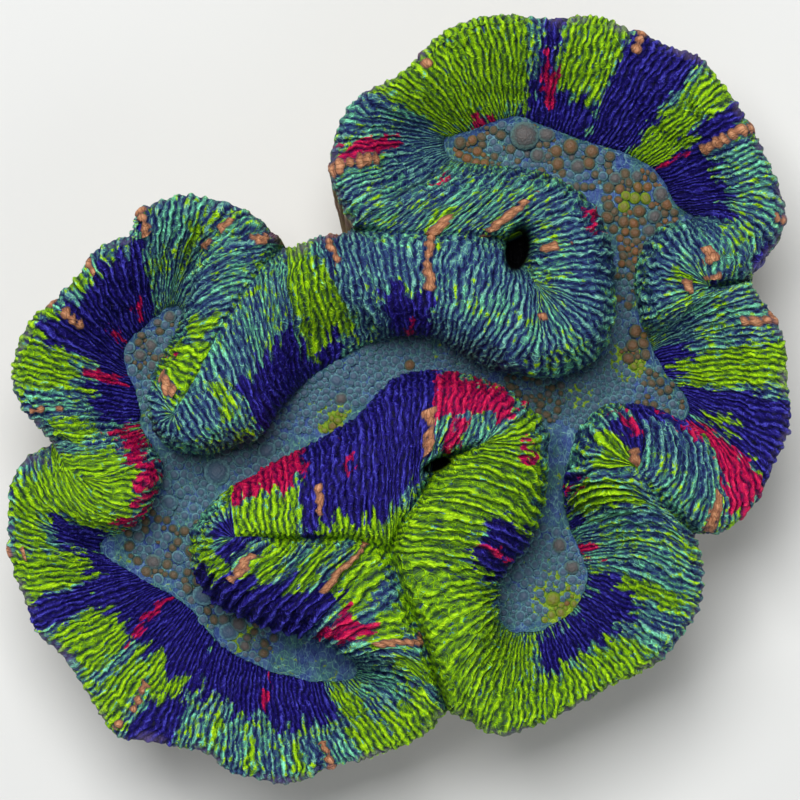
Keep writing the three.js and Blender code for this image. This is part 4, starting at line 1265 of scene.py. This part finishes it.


# Each tint from the groove to the crest, at these heights of the ridge: the dark groove end is painted shade
# and the bright crest end is painted highlight, over the flesh's own tint.
CREST_STOPS = (0.0, 0.3, 0.6, 0.84, 1.0)
FLESH_TINTS = {
    "teal": ("080E38", "22366A", "447874", "62B28A", "8CF2C6"),
    "slate": ("080A38", "17225C", "2E4A74", "4C8088", "84C8B4"),
    "indigo": ("030124", "0A0546", "150B64", "241A86", "4A48C0"),
    "green": ("1A2E30", "3A5C28", "6A9A12", "96D004", "BEF01A"),
    "crimson": ("2A0024", "680042", "A8004C", "D4044A", "EE2C64"),
    "bead": ("1E2444", "5A4A52", "96644C", "B87C58", "D89C74"),
}


def flesh_shade(finish, crest):
    """The ridge's height, streaked along the ridges, which sets the painted shade and highlight of the tints,
    and the streaks themselves.
    """
    streak = finish.noise(finish.wall_place(1, 0.3), 0.55, 4, 0.65)
    lace = finish.web(finish.wall_place(1, 0.5), 0.7)
    threads = finish.rise(lace, 0.1, 0.0)
    shade = finish.sum(crest, (streak, 1.5), (1.0, -0.84), (threads, 0.34))
    return shade, streak, threads


def flesh_colour(finish, crest):
    """The flesh's colour from the groove to the crest, with painted shade in the grooves and painted
    highlight on the crests: teal with patches of the other tints.
    """
    shade, streak, threads = flesh_shade(finish, crest)
    broad = finish.noise(finish.wall_place(1, 0.35), 3.2, 2)
    teal, slate = finish.tinted(shade, "teal"), finish.tinted(shade, "slate")
    base = finish.blend(finish.rise(broad, 0.46, 0.54), teal, slate)
    flecks = finish.noise(finish.wall_place(1, 0.5), 0.8, 3)
    flecks = finish.sum(flecks, (finish.noise(finish.wall_place(1, 1), 8, 1), 0.5), (crest, 0.14))
    base = finish.blend(finish.rise(flecks, 0.88, 1.0), base, finish.tinted(shade, "green"))
    fray = finish.noise(finish.wall_place(1, 0.35), 1.0, 4)
    rents = finish.rise(finish.noise(finish.wall_place(1, 0.3), 0.75, 4), 0.57, 0.66)
    for name in MARKS:
        field = finish.sum(finish.value_of(name), (fray, 5.5), (1.0, -2.9))
        if name == "green":
            field = finish.sum(field, (rents, -3.6))
        base = finish.blend(finish.rise(field, -0.25, 0.3), base, finish.tinted(shade, name))
    return base, streak, threads


def flesh_finish():
    finish = Finish("fleshy ridged mantle", 0.5, gloss=0.2)
    base, streak, threads = flesh_colour(finish, finish.value_of("ridge"))
    # Painted shade and highlight on the beads: their tint runs from dark at a bead's foot to bright on its
    # top.
    bead = finish.sum(-0.55, (finish.value_of("beads"), 1.3), (streak, 0.5))
    base = finish.blend(finish.rise(bead, 0.05, 0.5), base, finish.tinted(bead, "bead"))
    violet = finish.noise(finish.wall_place(1, 1), 7, 2)
    rim = finish.times(finish.value_of("margin"), finish.rise(violet, 0.5, 0.6))
    base = finish.blend(finish.times(rim, 0.7), base, "5E5078")
    # Painted shade: the pits turn near-black.
    base = finish.blend(finish.rise(finish.value_of("pit"), 0.15, 0.7), base, "020206")
    grain = finish.noise(finish.place(), 0.5, 3)
    finish.bump(finish.sum(streak, (grain, 0.5), (threads, 0.45)), 0.75)
    return finish.done(base, finish.sum(0.36, (streak, 0.3)))


FLOOR_TINTS = {
    "blue": ("0C0A40", "1C2A74", "3C5890", "6890A8", "B4E4E4"),
    "teal": ("0E163C", "22406A", "406C78", "649C88", "A8E8C8"),
    "yellow": ("1C3010", "4C6A14", "7C9C1C", "A0C02C", "D0E864"),
}


def floor_finish():
    finish = Finish("valley floor skin", 0.4)
    place = finish.place()
    flow = finish.web(finish.stretched(place, 1, 0.45, 1), 1.0)
    veins = finish.sum(finish.noise(place, 0.9, 4, 0.7), (finish.rise(flow, 0.09, 0.0), 0.26), (1.0, -0.06))
    broad = finish.noise(place, 6.0, 2)
    blue, teal, yellow = (finish.ramp(veins, *codes) for codes in FLOOR_TINTS.values())
    base = finish.blend(finish.rise(broad, 0.42, 0.58), blue, teal)
    flecks = finish.sum(finish.noise(place, 1.2, 3), (broad, 0.3), (finish.value_of("patch"), 0.75))
    base = finish.blend(finish.rise(flecks, 0.78, 0.88), base, yellow)
    finish.bump(finish.sum(veins, (finish.noise(place, 0.4, 2), 0.4)), 0.5)
    return finish.done(base, finish.sum(0.3, (veins, 0.35)))


# Each tint of a blister from its foot to its top, and the blisters' own values between which it takes over.
SLATE_SKIN = ("182250", "7CA8B8", "6E9AA2", "405A70", "46586E")
BLISTER_TINTS = [
    (0.32, 0.42, ("141A38", "3E5A6E", "586A5C", "544A3A", "5E4C36")),  # brown
    (0.58, 0.7, ("181A38", "46605A", "6C6646", "704E30", "7A5032")),  # rust
    (0.78, 0.84, ("18282C", "507638", "78982A", "788424", "747032")),  # yellow-green
]


def blister_finish():
    finish = Finish("blister skin", 0.42)
    place = finish.place()
    lift = finish.sum(finish.value_of("lift"), (finish.noise(place, 0.45, 4), 0.7), (1.0, -0.35))
    tint = finish.value_of("tint")
    base = finish.ramp(lift, *SLATE_SKIN)
    for low, high, codes in BLISTER_TINTS:
        base = finish.blend(finish.rise(tint, low, high), base, finish.ramp(lift, *codes))
    finish.bump(finish.noise(place, 0.45, 3), 0.35)
    return finish.done(base, finish.sum(0.3, (finish.noise(place, 0.7, 2), 0.25)))


def limestone(finish, place, ribs, coarse, fine):
    """Pale stone, stained and pinkish in places, darker in the grooves between the ribs as painted shade."""
    stone = finish.ramp(finish.sum(ribs, (fine, 0.7), (1.0, -0.5)), "8C7C64", "B8A888", "D0C2A2", "E4DAC0")
    stone = finish.blend(finish.times(finish.rise(coarse, 0.52, 0.7), 0.6), stone, "A88C78")
    pink = finish.rise(finish.noise(place, 11, 2), 0.5, 0.66)
    return finish.blend(finish.times(pink, 0.35), stone, "A4708C")


def skeleton_finish():
    finish = Finish("ribbed limestone", 0.8)
    place, down, ribs = finish.place(), finish.value_of("down"), finish.value_of("ridge")
    flesh, _, _ = flesh_colour(finish, ribs)
    coarse, fine = finish.noise(place, 3.5, 4, 0.6), finish.noise(place, 0.7, 4, 0.6)
    ragged = finish.noise(finish.wall_place(1, 0.4), 2.4, 3)
    share = finish.rise(finish.sum(down, (ragged, -7.0), (ribs, -1.2)), 2.2, 1.4)
    base = finish.blend(share, limestone(finish, place, ribs, coarse, fine), flesh)
    finish.bump(finish.sum(fine, (coarse, 0.8), (finish.cells(place, 1.1), 0.3)), 0.6)
    return finish.done(base, finish.sum(0.86, (share, -0.4), (fine, 0.1)))


# ---- Floor, light and camera ----
LIT_POINT = (0.0, 0.0, 0.03)
# Lamps: (name, place, width, power, tint).
LAMPS = [
    ("key", (-0.12, 0.34, 1.0), 0.5, 12.0, (1.0, 1.0, 1.0)),
    ("fill", (0.4, -0.7, 0.7), 0.8, 1.8, (0.9, 0.95, 1.0)),
]
ROOM_TINT, ROOM_LIGHT = (0.92, 0.96, 1.0, 1.0), 0.26
STUDIO_REACH = 3.0


def add_light(name, place, width, power, tint):
    light = bpy.data.lights.new(name, "AREA")
    light.shape, light.size, light.energy, light.color = "SQUARE", width, power, tint
    lamp = bpy.data.objects.new(name, light)
    lamp.location = place
    lamp.rotation_euler = (Vector(LIT_POINT) - Vector(place)).to_track_quat("-Z", "Y").to_euler()
    bpy.context.scene.collection.objects.link(lamp)


def make_studio():
    """A pale floor and soft light from above."""
    mesh = bpy.data.meshes.new("studio_floor")
    corners = [(x * STUDIO_REACH, y * STUDIO_REACH, 0) for x, y in ((-1, -1), (1, -1), (1, 1), (-1, 1))]
    mesh.from_pydata(corners, [], [(0, 1, 2, 3)])
    ground = bpy.data.objects.new("studio_floor", mesh)
    bpy.context.scene.collection.objects.link(ground)
    mesh.materials.append(Finish("pale paper", 0.9).done("D8D8D6"))
    ground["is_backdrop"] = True

    world = bpy.data.worlds.new("soft room")
    world.use_nodes = True
    back = world.node_tree.nodes["Background"]
    back.inputs["Color"].default_value = ROOM_TINT
    back.inputs["Strength"].default_value = ROOM_LIGHT
    bpy.context.scene.world = world
    for lamp in LAMPS:
        add_light(*lamp)
    bpy.context.scene.view_settings.view_transform = "Standard"


CREST_LEVEL = 0.038
FRAME_WIDTH = 0.144
LENS, SENSOR = 200.0, 36.0


def make_camera():
    """Straight above the colony, with north at the top."""
    lens = bpy.data.cameras.new("camera")
    lens.lens, lens.sensor_width = LENS, SENSOR
    lens.clip_start, lens.clip_end = 0.01, 20.0
    camera = bpy.data.objects.new("camera", lens)
    camera.location = (shift[0] * 0.001, shift[1] * 0.001, CREST_LEVEL + FRAME_WIDTH * LENS / SENSOR)
    bpy.context.scene.collection.objects.link(camera)
    bpy.context.scene.camera = camera


def stand_for_colony(piece, material=None):
    if material:
        piece.data.materials.append(material)
    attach(piece, "root")
    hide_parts(NODE)


# ---- Making ----
wall = make_wall()
shift = centre_shift()
flesh = flesh_finish()
for mantle, (first, last) in MANTLES.items():
    stand_for_colony(make_mantle(mantle, first, last), flesh)
stand_for_colony(make_skeleton(), skeleton_finish())
outline = floor_outline()
tree = edge_tree(outline)
stand_for_colony(make_floor(outline, tree), floor_finish())
stand_for_colony(make_blisters(outline, tree, blister_finish()))
make_studio()
make_camera()


def corners(box):
    return [[float(value) for value in corner] for corner in box]


{"cad": corners(cad_box), "visual": corners(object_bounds())}
